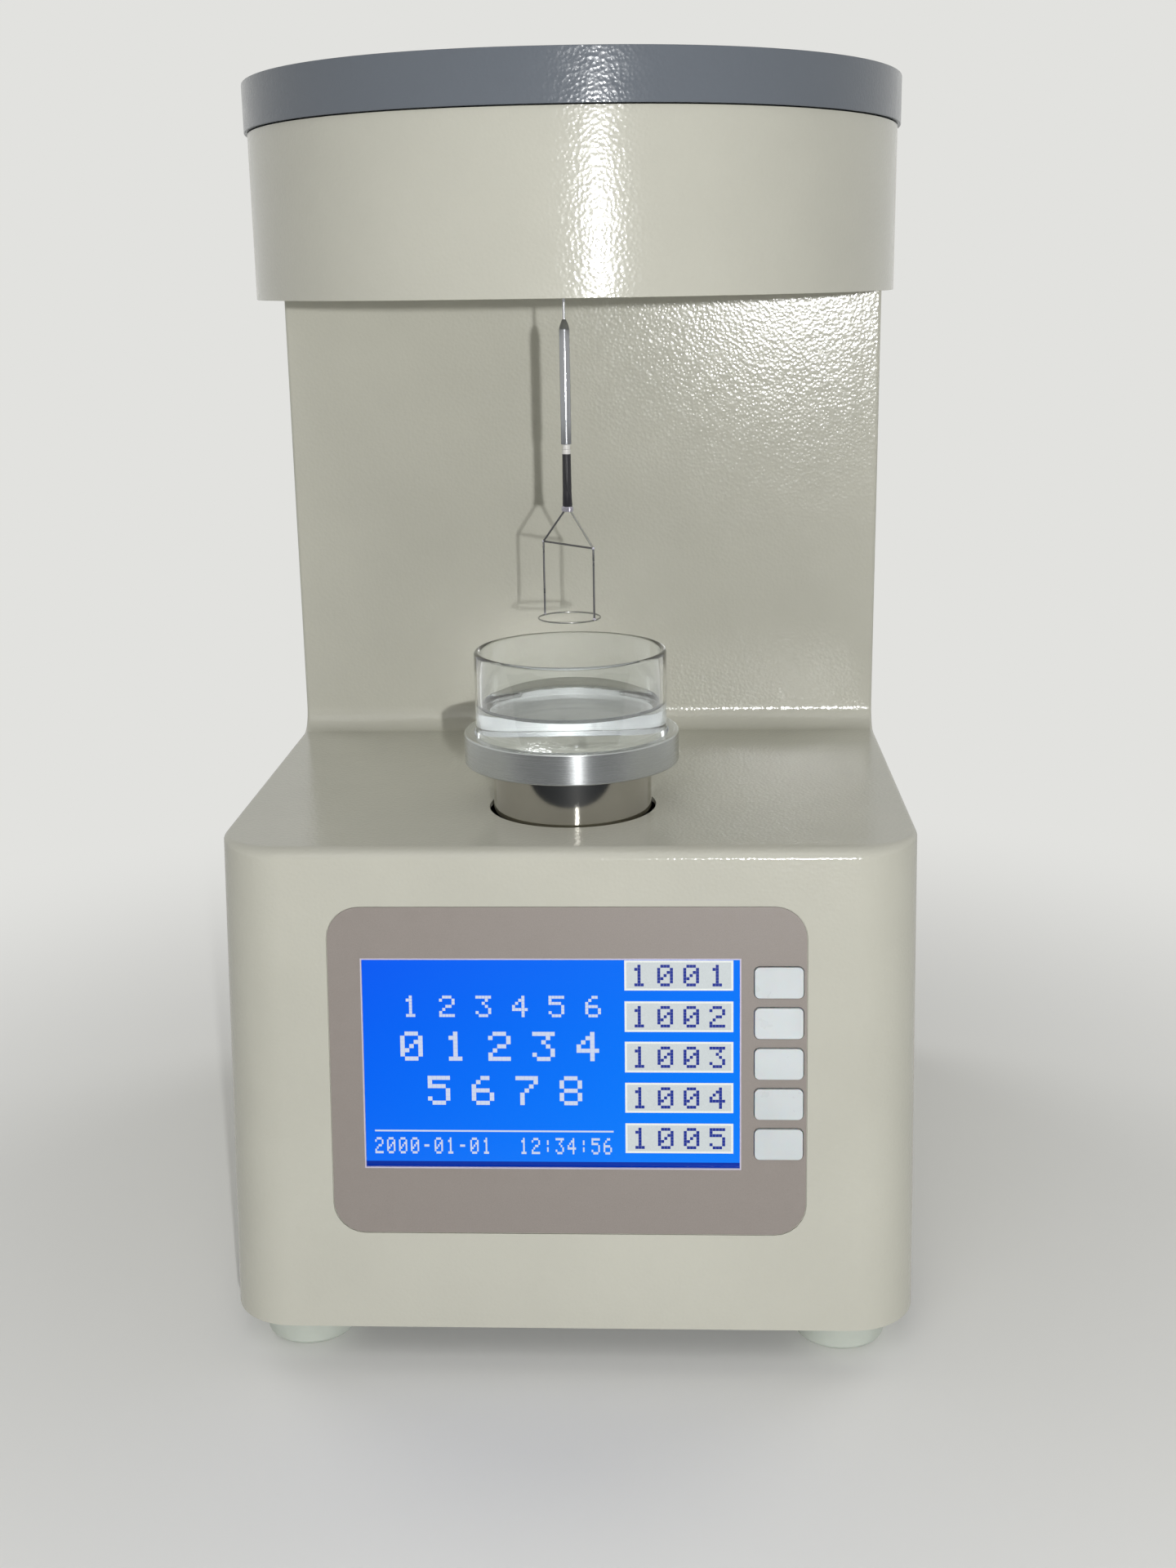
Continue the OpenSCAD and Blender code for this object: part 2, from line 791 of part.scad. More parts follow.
module stage_collar() {
    color("#b9bcbf")
        at_stage()
            difference() {
                union() {
                    rod(collar_d, collar_z, collar_z + collar_h);
                    rod(post_bore - 2 * run_gap, collar_z - spigot_h, collar_z + cut);
                }
                rod(cup_d + 2 * drop_gap, cup_z, collar_z + collar_h + cut);
                rod(post_bore - 2 * spigot_wall, collar_z - spigot_h - cut, collar_z + cut);
            }
}

// A plain glass cup with a turned-over rim edge and a rounded foot
module sample_cup() {
    r = cup_d / 2;
    in_r = r - cup_wall;
    foot_r = 1.5;
    rim_r = cup_wall / 2;
    color("#dfe9ec", 0.35)
        at_stage() translate([0, 0, cup_z])
            rotate_extrude()
                polygon(concat(
                    [[0, 0]],
                    arc([r - foot_r, foot_r], foot_r, -90, 0, 4),
                    arc([r - rim_r, cup_h - rim_r], rim_r, 0, 180, 6),
                    arc([in_r - foot_r, cup_floor + foot_r], foot_r, 0, -90, 4),
                    [[0, cup_floor]]));
}

// ---- lift ----

bush_wall = 3.5;
bush_d = rod_d + 2 * bush_wall;
bush_l = 2 * carriage_t;
nut_wall = 3;
nut_d = screw_d + 2 * nut_wall;
nut_flange_d = nut_d + 8;
nut_flange_t = 3;
carriage_edge = 2;
carriage_w = rod_span + bush_d + 2 * carriage_edge;
flag_w = 4;
flag_half = 3;

module stage_carriage() {
    color("#9aa0a6")
        at_stage()
            difference() {
                union() {
                    slab(-carriage_w / 2, carriage_w / 2, -carriage_l / 2, carriage_l / 2,
                        carriage_z0, carriage_z1);
                    rod(post_bore - 2 * run_gap, carriage_z1 - cut, carriage_z1 + spigot_h);
                    rod(post_d + 2 * carriage_edge, carriage_z0, carriage_z1);
                    slab(-carriage_w / 2 - flag_w, -carriage_w / 2 + cut, -flag_half, flag_half,
                        carriage_z0, carriage_z1);
                }
                rod(nut_d, carriage_z0 - cut, carriage_z1 + spigot_h + cut);
                for (side = [-1, 1])
                    translate([side * rod_span / 2, 0, 0])
                        rod(bush_d, carriage_z0 - cut, carriage_z1 + cut);
            }
}

module lead_nut() {
    color("#b08d3c")
        at_stage()
            difference() {
                union() {
                    rod(nut_d, carriage_z0 - nut_flange_t, carriage_z1 + spigot_h);
                    rod(nut_flange_d, carriage_z0 - nut_flange_t, carriage_z0);
                }
                rod(screw_d + 2 * run_gap, carriage_z0 - nut_flange_t - cut,
                    carriage_z1 + spigot_h + cut);
            }
}

module guide_bushes() {
    color("#c08a4a")
        at_stage()
            for (side = [-1, 1])
                translate([side * rod_span / 2, 0, 0])
                    tube(bush_d, rod_d + 2 * run_gap, carriage_z1 - bush_l, carriage_z1);
}

// Motor, plates and rods, stacked up from the bottom plate
motor_lift = 4;
motor_z0 = z_floor + motor_lift;
motor_z1 = motor_z0 + motor_h;
motor_plate_z1 = motor_z1 + plate_t;
pilot_d = 22;
pilot_h = 2;
shaft_d = 5;
shaft_floor = 2;
coupling_lift = 2;
coupling_z0 = motor_plate_z1 + coupling_lift;
coupling_z1 = coupling_z0 + coupling_h;
coupling_mid = coupling_z0 + coupling_h / 2;
screw_top = guide_plate_z + plate_t / 3;
pillar_d = 8;
plate_edge = 7;
pillar_edge = 1;
plate_half_w = rod_span / 2 + rod_d / 2 + plate_edge;
plate_half_l = motor_w / 2 + pillar_d + 2 * pillar_edge;
pillar_x = plate_half_w - pillar_d / 2 - pillar_edge;
pillar_y = plate_half_l - pillar_d / 2 - pillar_edge;

module lift_plate(z0, hole_d, socket) {
    at_stage()
        difference() {
            slab(-plate_half_w, plate_half_w, -plate_half_l, plate_half_l, z0, z0 + plate_t);
            rod(hole_d, z0 - cut, z0 + plate_t + cut);
            for (side = [-1, 1])
                translate([side * rod_span / 2, 0, 0])
                    rod(rod_d, z0 + (socket ? plate_t / 2 : -cut), z0 + plate_t + cut);
        }
}

module motor_plate() {
    color("#8f9498") lift_plate(motor_z1, pilot_d + 2 * run_gap, true);
}

module guide_plate() {
    color("#8f9498") lift_plate(guide_plate_z, post_d + 2 * post_gap, false);
}

module guide_rods() {
    color("#c8cacc")
        at_stage()
            for (side = [-1, 1])
                translate([side * rod_span / 2, 0, 0])
                    rod(rod_d, motor_z1 + plate_t / 2, guide_plate_z + plate_t);
}

module motor_pillars() {
    color("#9a9c9e")
        at_stage()
            for (x = [-pillar_x, pillar_x], y = [-pillar_y, pillar_y])
                translate([x, y, 0]) rod(pillar_d, z_floor, motor_z1);
}

motor_cap_t = 8;
motor_chamfer = 4;
motor_waist = 0.6;

module lift_motor() {
    chamfer = motor_chamfer;
    half = motor_w / 2;
    color("#33363a")
        at_stage()
            difference() {
                union() {
                    translate([0, 0, motor_z0]) linear_extrude(motor_h)
                        polygon([
                            [half - chamfer, -half], [half, -half + chamfer],
                            [half, half - chamfer], [half - chamfer, half],
                            [-half + chamfer, half], [-half, half - chamfer],
                            [-half, -half + chamfer], [-half + chamfer, -half]]);
                    rod(pilot_d, motor_z1, motor_z1 + pilot_h);
                }
                for (side = [-1, 1])
                    slab(side * half - motor_waist, side * half + motor_waist, -half, half,
                        motor_z0 + motor_cap_t, motor_z1 - motor_cap_t);
                rod(shaft_d + 2 * run_gap, motor_z0 + shaft_floor, motor_z1 + pilot_h + cut);
            }
}

module motor_shaft() {
    color("#c8cacc") at_stage() rod(shaft_d, motor_z0 + shaft_floor + drop_gap, coupling_mid - cut);
}

module shaft_coupling() {
    color("#b9bcbf")
        at_stage()
            difference() {
                rod(coupling_d, coupling_z0, coupling_z1);
                rod(shaft_d, coupling_z0 - cut, coupling_mid - cut);
                rod(screw_d, coupling_mid, coupling_z1 + cut);
            }
}

module lead_screw() {
    color("#c8cacc") at_stage() rod(screw_d, coupling_mid, screw_top);
}

// Two switches on a rail tell the lift where to stop
rail_t = 6;
rail_half = 4;
rail_gap = 2;
limit_half = 8;
limit_h = 6;
limit_w = rail_gap + flag_w / 2;
rail_x = -carriage_w / 2 - flag_w - rail_gap - rail_t;

module switch_rail() {
    color("#9aa0a6")
        at_stage() slab(rail_x, rail_x + rail_t, -rail_half, rail_half,
            z_floor, guide_plate_z + plate_t);
}

module limit_switches() {
    low = carriage_z0 - lift_down - pass_gap / 2;
    high = carriage_z1 + lift_up + pass_gap / 2;
    color("#26282a")
        at_stage()
            for (z = [low - limit_h, high])
                slab(rail_x + rail_t, rail_x + rail_t + limit_w, -limit_half, limit_half,
                    z, z + limit_h);
}

// ---- ring and hanger ----

ring_z = z_top + ring_up;
shoulder_z = ring_z + frame_h;
peak_z = shoulder_z + frame_peak;
sleeve_z1 = peak_z + sleeve_h;
rod_z1 = sleeve_z1 + hang_rod_h;
tip_h = 3;
tip_shoulder = 0.2;

module measuring_ring() {
    color("#d5d6d4")
        at_stage() translate([0, 0, ring_z])
            rotate_extrude() translate([ring_r, 0]) circle(d = ring_wire, $fn = 16);
}

// Stirrup of the ring: two uprights, a cross wire and two sloping wires
module ring_frame() {
    foot_z = ring_z + ring_wire / 2;
    spread = sleeve_d / 2 - frame_wire;
    joint_d = 1.2 * frame_wire;
    color("#a8aaa8")
        at_stage() rotate([0, 0, frame_turn])
            difference() {
                union() {
                    for (side = [-1, 1]) {
                        wire([side * ring_r, 0, foot_z], [side * ring_r, 0, shoulder_z], frame_wire);
                        wire([side * ring_r, 0, shoulder_z], [side * spread, 0, peak_z], frame_wire);
                        translate([side * ring_r, 0, shoulder_z]) sphere(d = joint_d, $fn = 16);
                    }
                    wire([-ring_r, 0, shoulder_z], [ring_r, 0, shoulder_z], frame_wire);
                }
                rod(2 * sleeve_d, peak_z, peak_z + frame_wire);
            }
}

module hanger_sleeve() {
    color("#4a4c4e") at_stage() rod(sleeve_d, peak_z, sleeve_z1);
}

module hanger_rod() {
    color("#c3c4c2")
        at_stage() {
            rod(hang_rod_d, sleeve_z1, rod_z1 - tip_h);
            translate([0, 0, rod_z1 - tip_h])
                cylinder(d1 = hang_rod_d, d2 = hook_wire_d + 2 * tip_shoulder, h = tip_h);
        }
}

// Hook: a wire up through the head's floor, and a yoke round the beam's tip
pivot_z = z_head + sheet_t + pivot_h;
yoke_gap = 0.4;
yoke_t = 1.2;
yoke_l = 4;
yoke_drop = 1.6;
yoke_up = 2;
yoke_in = beam_t / 2 + yoke_gap;
yoke_out = yoke_in + yoke_t;
yoke_z0 = pivot_z - beam_t / 2 - yoke_drop;

module hanger_hook() {
    color("#c3c4c2")
        at_stage() {
            rod(hook_wire_d, rod_z1, yoke_z0);
            slab(-yoke_out, yoke_out, -yoke_l / 2, yoke_l / 2, yoke_z0 - yoke_t, yoke_z0);
            for (side = [-1, 1]) {
                near = side * yoke_in;
                out = side * yoke_out;
                slab(min(near, out), max(near, out), -yoke_l / 2, yoke_l / 2,
                    yoke_z0 - yoke_t, pivot_z + yoke_up);
            }
            translate([0, 0, pivot_z]) cross_bar(pivot_d, 2 * yoke_out);
        }
}

// ---- balance in the head ----

y_pivot = y_axis + arm_front;
y_coil = y_pivot + arm_coil;
y_weight = y_pivot + arm_weight;
stud_d = 4;
former_t = 2;
coil_h = 12;
flag_set = 26;
flag_y = y_pivot - flag_set;
flag_l = 8;
flag_t = 1;
flag_h = 8;
stud_tail = 4;
stud_root = 1;

module balance_beam() {
    color("#aeb4ba")
        difference() {
            union() {
                slab(-beam_t / 2, beam_t / 2, y_axis - beam_t / 2, y_coil + coil_r,
                    pivot_z - beam_t / 2, pivot_z + beam_t / 2);
                translate([0, y_coil + coil_r - stud_root, pivot_z]) rotate([-90, 0, 0])
                    cylinder(d = stud_d,
                        h = y_weight + weight_l / 2 + stud_tail - (y_coil + coil_r - stud_root));
                slab(-flag_t / 2, flag_t / 2, flag_y - flag_l / 2, flag_y + flag_l / 2,
                    pivot_z - beam_t / 2 - flag_h, pivot_z);
            }
            for (y = [y_axis, y_pivot])
                translate([0, y, pivot_z]) cross_bar(pivot_d + 2 * run_gap, 2 * beam_t);
        }
}

module coil() {
    top = pivot_z - beam_t / 2;
    color("#a2562c")
        translate([0, y_coil, 0]) {
            tube(2 * coil_r + coil_t, 2 * coil_r - coil_t, top - former_t - coil_h, top - former_t / 2);
            rod(2 * coil_r + coil_t, top - former_t, top);
        }
}

module counterweight() {
    color("#b59a4a")
        translate([0, y_weight - weight_l / 2, pivot_z]) rotate([-90, 0, 0])
            tube(weight_d, stud_d, 0, weight_l);
}

floor_top = z_head + sheet_t;
base_top = floor_top + balance_t;
base_half = 34;
base_nose = 12;
base_tail = 6;
base_y = [y_axis - base_nose, y_coil + magnet_d / 2 + base_tail];
ear_gap = 3;
ear_in = beam_t / 2 + ear_gap;
ear_t = 4;
ear_half = 6;
ear_up = 5;
balance_screw_in = 5;
balance_screw_x = base_half - balance_screw_in;
balance_screw_y = [base_y[0] + base_nose / 2, y_col - flange_w * 0.8];

// Cast base with the pivot's two ears
module balance_base() {
    color("#7d8388")
        difference() {
            union() {
                slab(-base_half, base_half, base_y[0], base_y[1], floor_top, base_top);
                for (side = [-1, 1]) {
                    near = side * ear_in;
                    out = side * (ear_in + ear_t);
                    slab(min(near, out), max(near, out), y_pivot - ear_half, y_pivot + ear_half,
                        base_top - cut, pivot_z + ear_up);
                }
            }
            at_stage() rod(hanger_hole_d, floor_top - cut, base_top + cut);
            translate([0, y_pivot, pivot_z]) cross_bar(pivot_d, 4 * (ear_in + ear_t));
            case_screw_holes();
        }
}

module pivot_wire() {
    color("#c8cacc") translate([0, y_pivot, pivot_z]) cross_bar(pivot_d, 2 * (ear_in + ear_t));
}

// Pot magnet with a ring-shaped air gap for the coil
magnet_drop = 3;
magnet_floor = 2;
magnet_z1 = pivot_z - beam_t / 2 - former_t - magnet_drop;

module magnet() {
    color("#54585c")
        translate([0, y_coil, 0])
            difference() {
                rod(magnet_d, base_top, magnet_z1);
                tube(2 * coil_r + air_gap, 2 * coil_r - air_gap,
                    base_top + magnet_floor, magnet_z1 + cut);
            }
}

// Stirrup that the beam lands on at either end of its travel
stop_set = 44;
stop_y = y_pivot - stop_set;
stop_l = 5;
stop_gap = (stop_set + stop_l / 2) * sin(beam_tip) + drop_gap;
stop_side = 2;
stop_in = beam_t / 2 + stop_side;
stop_t = 3;

module beam_stop() {
    color("#9aa0a6")
        translate([0, stop_y, 0])
            difference() {
                slab(-stop_in - stop_t, stop_in + stop_t, -stop_l / 2, stop_l / 2,
                    base_top, pivot_z + beam_t / 2 + stop_gap + stop_t);
                slab(-stop_in, stop_in, -stop_l, stop_l,
                    pivot_z - beam_t / 2 - stop_gap, pivot_z + beam_t / 2 + stop_gap);
                slab(-stop_in, stop_in, -stop_l, stop_l,
                    base_top + stop_t, pivot_z - beam_t / 2 - stop_gap - stop_t);
            }
}

// Optical fork that the beam's flag moves in
fork_gap = 1.2;
fork_t = 5;
fork_edge = 1;
fork_drop = 2;
fork_in = flag_t / 2 + fork_gap;
fork_out = fork_in + fork_t;

module position_sensor() {
    color("#26282a")
        translate([0, flag_y, 0])
            difference() {
                slab(-fork_out, fork_out, -flag_l / 2 - fork_edge, flag_l / 2 + fork_edge,
                    base_top, pivot_z - beam_t / 2 - fork_drop);
                slab(-fork_in, fork_in, -flag_l, flag_l,
                    pivot_z - beam_t / 2 - flag_h - fork_drop, pivot_z);
            }
}

// ---- electronics and rear fittings ----

board_pillar_l = 10;
board_front_y = y_inner - board_pillar_l - board_t;
board_half = 70;
board_h = 105;
main_board_z0 = z_top - 8;
board_pillar_d = 6;
board_corner = 5;
board_places = [
    for (x = [-board_half + board_corner, board_half - board_corner],
        z = [main_board_z0 + board_corner, main_board_z0 + board_h - board_corner])
        [x, z]
];
chip_sizes = [[-40, 30, 14, 14, 3], [-8, 62, 22, 22, 3], [30, 30, 18, 10, 8], [34, 78, 16, 16, 12],
    [-38, 82, 20, 8, 10], [0, 20, 26, 8, 6]];

board_screw_l = sheet_t + board_pillar_l + board_t;

module main_board() {
    color("#1f5c3a")
        difference() {
            slab(-board_half, board_half, board_front_y, board_front_y + board_t,
                main_board_z0, main_board_z0 + board_h);
            case_screw_holes();
        }
    color("#26282a")
        for (c = chip_sizes)
            slab(c[0] - c[2] / 2, c[0] + c[2] / 2, board_front_y - c[4], board_front_y + board_t / 2,
                main_board_z0 + c[1] - c[3] / 2, main_board_z0 + c[1] + c[3] / 2);
}

module board_pillars() {
    color("#c2a24e")
        difference() {
            for (p = board_places)
                translate([p[0], board_front_y + board_t, p[1]]) rotate([-90, 0, 0])
                    cylinder(d = board_pillar_d, h = board_pillar_l);
            case_screw_holes();
        }
}

// Flat cable from the display board to the main board, past the lift's switch rail
cable_t = 1;
cable_w = 10;
cable_rail_gap = 1.5;
cable_x = rail_x - cable_rail_gap - cable_w;
cable_run_z = z_floor + 34;
cable_rise_y = y_inner - 22;
cable_end_z = main_board_z0 + 12;

module display_cable() {
    start_y = y_front + (cable_run_z - z_base) * tan(front_lean)
        + (board_t - frame_back) / cos(front_lean) + 0.2;
    color("#8c9096")
        slab(cable_x, cable_x + cable_w, start_y, cable_rise_y + cable_t,
            cable_run_z, cable_run_z + cable_t);
    color("#8c9096")
        slab(cable_x, cable_x + cable_w, cable_rise_y, cable_rise_y + cable_t,
            cable_run_z, cable_end_z);
    color("#8c9096")
        slab(cable_x, cable_x + cable_w, cable_rise_y, board_front_y,
            cable_end_z - cable_t, cable_end_z);
}

// Transformer: laminated core, winding and bobbin
core_w = 57;
core_l = 28;
core_h = 48;
core_leg = 9;
winding_out = 9;
core_x = -8;
core_y = y_inner - 50;

module transformer() {
    color("#5a5d60")
        difference() {
            slab(core_x - core_w / 2, core_x + core_w / 2, core_y - core_l / 2, core_y + core_l / 2,
                z_floor, z_floor + core_h);
            slab(core_x - core_w / 2 + core_leg, core_x + core_w / 2 - core_leg,
                core_y - core_l, core_y + core_l, z_floor + core_leg, z_floor + core_h - core_leg);
        }
    color("#b08d3c")
        slab(core_x - core_w / 2 + core_leg, core_x + core_w / 2 - core_leg,
            core_y - core_l / 2 - winding_out, core_y + core_l / 2 + winding_out,
            z_floor + core_leg, z_floor + core_h - core_leg);
}

drawer_w = 26;
drawer_h = 7;
drawer_hold = 8;
drawer_l = drawer_pull + drawer_hold;
drawer_wall = 3;
drawer_floor = 2;
groove_half = 5;
groove_h = 2;
groove_z = 0.5;
socket_depth = 17;
inlet_body_l = 26;
inlet_flange_t = 2;
drawer_z = -inlet_h / 2 + drawer_h / 2 + 1;

rocker_depth = 3;
rocker_gap = 0.7;
rocker_axle_d = 2;
rocker_well = 8;

// Outline of the socket's recess for a plug
socket_points = [[-12.2, -8.2], [12.2, -8.2], [12.2, 3], [7.5, 8], [-7.5, 8], [-12.2, 3]];
socket_up = 4.5;
pin_t = 2;
pin_places = [[-7, 5], [7, 5], [0, 9]];

// Mains inlet: one moulding with a recess for a plug, a fuse slot and a switch well
module mains_inlet() {
    color("#1d1e20")
        on_rear(mains_x, inlet_z)
            difference() {
                union() {
                    slab(-inlet_w / 2 - inlet_rim, inlet_w / 2 + inlet_rim,
                        -inlet_h / 2 - inlet_rim, inlet_top + inlet_rim, 0, inlet_flange_t);
                    slab(-inlet_w / 2, inlet_w / 2, -inlet_h / 2, inlet_top, -inlet_body_l, 0.5);
                }
                difference() {
                    translate([0, socket_up, -socket_depth])
                        linear_extrude(socket_depth + inlet_flange_t + cut) polygon(socket_points);
                    for (p = pin_places)
                        slab(p[0] - pin_t / 2, p[0] + pin_t / 2, p[1] - 2, p[1] + 2,
                            -socket_depth - 1, -2);
                }
                slab(-drawer_w / 2 - run_gap, drawer_w / 2 + run_gap,
                    drawer_z - drawer_h / 2 - run_gap, drawer_z + drawer_h / 2 + run_gap,
                    -drawer_l - drop_gap, inlet_flange_t + cut);
                translate([0, switch_up, 0]) {
                    slab(-rocker_w / 2, rocker_w / 2, -rocker_l / 2, rocker_l / 2,
                        -rocker_well, inlet_flange_t + cut);
                    translate([0, 0, -rocker_depth])
                        cross_bar(rocker_axle_d + 2 * run_gap, rocker_w + 2);
                }
            }
}

// Fuse drawer: a small tray with a finger groove in its face
module fuse_drawer() {
    color("#2a2c2e")
        on_rear(mains_x, inlet_z + drawer_z)
            difference() {
                slab(-drawer_w / 2, drawer_w / 2, -drawer_h / 2, drawer_h / 2,
                    -drawer_l, inlet_flange_t);
                slab(-drawer_w / 2 + drawer_wall, drawer_w / 2 - drawer_wall, 0, drawer_h,
                    -drawer_l + drawer_floor, -drawer_wall);
                slab(-groove_half, groove_half, -drawer_h, -drawer_h / 2 + groove_h,
                    groove_z, inlet_flange_t + cut);
            }
}

// Rocker of the mains switch, resting with its upper end pressed in
module mains_rocker() {
    half = rocker_l / 2 - rocker_gap;
    face = rear_proud - half * tan(rocker_swing / 2) - 0.3;
    color("#16181a")
        on_rear(mains_x, inlet_z + switch_up)
            translate([0, 0, -rocker_depth]) {
                rotate([rocker_swing / 2, 0, 0]) translate([0, 0, rocker_depth])
                    translate([-rocker_w / 2 + rocker_gap, 0, 0]) rotate([90, 0, 90])
                        linear_extrude(rocker_w - 2 * rocker_gap)
                            polygon([[-half + 1, -5], [half - 1, -5], [half, face - 0.8],
                                [half - 1, face], [0, face - 0.7], [-half + 1, face],
                                [-half, face - 0.8]]);
                cross_bar(rocker_axle_d, rocker_w + 1);
            }
}

module data_socket() {
    color("#8b8f93") {
        on_rear(data_x, inlet_z) {
            difference() {
                slab(-data_w / 2, data_w / 2, -data_h / 2, data_h / 2, -9, rear_proud);
                slab(-data_w / 2 + 0.8, data_w / 2 - 0.8, -data_h / 2 + 0.8, data_h / 2 - 0.8,
                    -3, rear_proud + cut);
            }
            slab(-data_flange_w / 2, data_flange_w / 2, -6, 6, -sheet_t - 1, -sheet_t);
        }
    }
}

main_housing();
head_housing();
top_cap();
rear_panel();
bottom_plate();
foot_front_left();
foot_front_right();
foot_rear_left();
foot_rear_right();
foot_screws();
case_screws();
panel_film();
lcd_glass();
lcd_frame();
display_board();
key_1();
key_2();
key_3();
key_4();
key_5();
key_switches();
key_board();
board_spacers();
display_cable();
stage_post();
stage_collar();
sample_cup();
stage_carriage();
lead_nut();
guide_bushes();
guide_rods();
lead_screw();
shaft_coupling();
motor_shaft();
lift_motor();
motor_plate();
motor_pillars();
guide_plate();
switch_rail();
limit_switches();
measuring_ring();
ring_frame();
hanger_sleeve();
hanger_rod();
hanger_hook();
balance_beam();
coil();
counterweight();
balance_base();
magnet();
pivot_wire();
beam_stop();
position_sensor();
main_board();
board_pillars();
transformer();
mains_inlet();
fuse_drawer();
mains_rocker();
data_socket();
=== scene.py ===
"""Ring tensiometer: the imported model's frame, dressed with finished shells, turned parts and finishes."""
import json
import math

import bmesh
import bpy
from mathutils import Matrix, Vector

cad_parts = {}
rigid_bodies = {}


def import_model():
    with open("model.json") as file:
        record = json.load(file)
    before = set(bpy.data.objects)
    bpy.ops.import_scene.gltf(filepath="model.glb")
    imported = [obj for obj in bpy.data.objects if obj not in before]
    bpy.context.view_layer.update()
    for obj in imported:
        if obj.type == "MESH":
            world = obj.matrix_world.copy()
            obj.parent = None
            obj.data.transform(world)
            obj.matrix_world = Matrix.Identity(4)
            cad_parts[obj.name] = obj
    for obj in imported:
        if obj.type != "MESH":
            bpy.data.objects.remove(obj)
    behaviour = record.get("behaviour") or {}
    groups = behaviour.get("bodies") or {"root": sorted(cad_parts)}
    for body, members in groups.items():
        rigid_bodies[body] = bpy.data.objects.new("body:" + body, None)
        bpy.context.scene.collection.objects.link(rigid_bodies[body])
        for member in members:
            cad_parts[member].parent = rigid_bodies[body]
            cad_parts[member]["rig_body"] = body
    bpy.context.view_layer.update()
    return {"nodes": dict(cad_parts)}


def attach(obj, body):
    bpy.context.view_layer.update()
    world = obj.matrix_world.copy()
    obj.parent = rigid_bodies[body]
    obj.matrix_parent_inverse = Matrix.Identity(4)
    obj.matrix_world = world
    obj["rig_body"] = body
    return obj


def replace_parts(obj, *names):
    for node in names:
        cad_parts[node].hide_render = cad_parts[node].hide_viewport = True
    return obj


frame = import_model()
nodes = frame["nodes"]
scene = bpy.context.scene
scene.view_settings.view_transform = "Standard"
MM = 0.001

# Main sizes of the instrument, in millimetres, as in the part's source
HALF_W = 105.0                      # the case, to each side
Y_FRONT = -131.5                    # foot of the leaning front face
Y_REAR = 128.5                      # outside of the rear panel
Y_COLUMN = 42.5                     # front face of the column
Y_STAGE = Y_FRONT + 68              # axis of the stage, the cup and the ring
Z_BASE = 12.0                       # underside of the case
Z_TOP = 158.0                       # top of the base
Z_HEAD = 314.0                      # underside of the head
Z_CAP = 364.5                       # the head's upper edge, under the cap
LEAN = math.radians(7.7)            # of the front face
CORNER = 20.0                       # radius of the front's upright corners
COVE = 8.0                          # radius where the column meets the base
SHEET = 1.5                         # thickness of the case's sheet
GAP = 0.25                          # clearance round the film and the keys
POST_HOLE = 26.4                    # radius of the hole for the post
FILM = (142.0, 100.0, 9.5)          # width, height, corner radius
FILM_UP = 80.0                      # its middle, measured up the front face
WINDOW = (113.0, 64.5)              # width and height of the display's opening
WINDOW_AT = (-4.8, 82.3)            # across, and up the front face
KEY_AT = (62.8, 82.8)               # the middle key
KEY_SIZE = (14.3, 9.3, 1.5)         # width, height, corner radius
KEY_PITCH = 12.3                    # from key to key
RING_Z = 218.0                      # middle of the ring's wire
RING_R = 9.55                       # out to the middle of that wire
RING_TURN = math.radians(-34)       # of the ring's frame, about the stage's axis
SLEEVE_FOOT, SLEEVE_TOP = 252.3, 268.0
ROD_FOOT = 270.9                    # between it and the sleeve is the pale ring
INLET_AT = (60, 46)                 # mains inlet, on the rear panel: x and z
ROCKER_AT = (60, 75)                # mains switch
SOCKET_AT = (-45, 46)               # data socket
BACKDROP = (226, 226, 223)          # colour seen past the object


# ---- camera ----

def aim_camera():
    """The camera stands where it stood for the photograph, as high as the head, and looks down a little."""
    place, yaw, pitch, roll = (0.03214, -0.63201, 0.32033), -0.047906, 0.267168, -0.016383
    ahead = Vector((math.sin(yaw) * math.cos(pitch), math.cos(yaw) * math.cos(pitch), -math.sin(pitch)))
    level = Vector((math.cos(yaw), -math.sin(yaw), 0))
    top = level.cross(ahead)
    right = math.cos(roll) * level + math.sin(roll) * top
    up = -math.sin(roll) * level + math.cos(roll) * top
    lens = bpy.data.cameras.new("camera")
    lens.lens = 42.766
    lens.sensor_width = 36
    camera = bpy.data.objects.new("camera", lens)
    turn = Matrix((right, up, -ahead)).transposed().to_4x4()
    camera.matrix_world = Matrix.Translation(place) @ turn
    scene.collection.objects.link(camera)
    scene.camera = camera


aim_camera()


# ---- making materials ----

def srgb(red, green, blue):
    """A colour as it shows on a screen, 0 to 255, in the shader's linear numbers."""
    return tuple(((c / 255 + 0.055) / 1.055) ** 2.4 if c > 10 else c / 255 / 12.92 for c in (red, green, blue))


def add_node(tree, kind, **values):
    """Adds a node; each value goes to the input of that name, or else to the node's own setting."""
    made = tree.nodes.new(kind)
    for name, value in values.items():
        key = name.replace("_", " ")
        if key in made.inputs:
            made.inputs[key].default_value = value
        else:
            setattr(made, name, value)
    return made


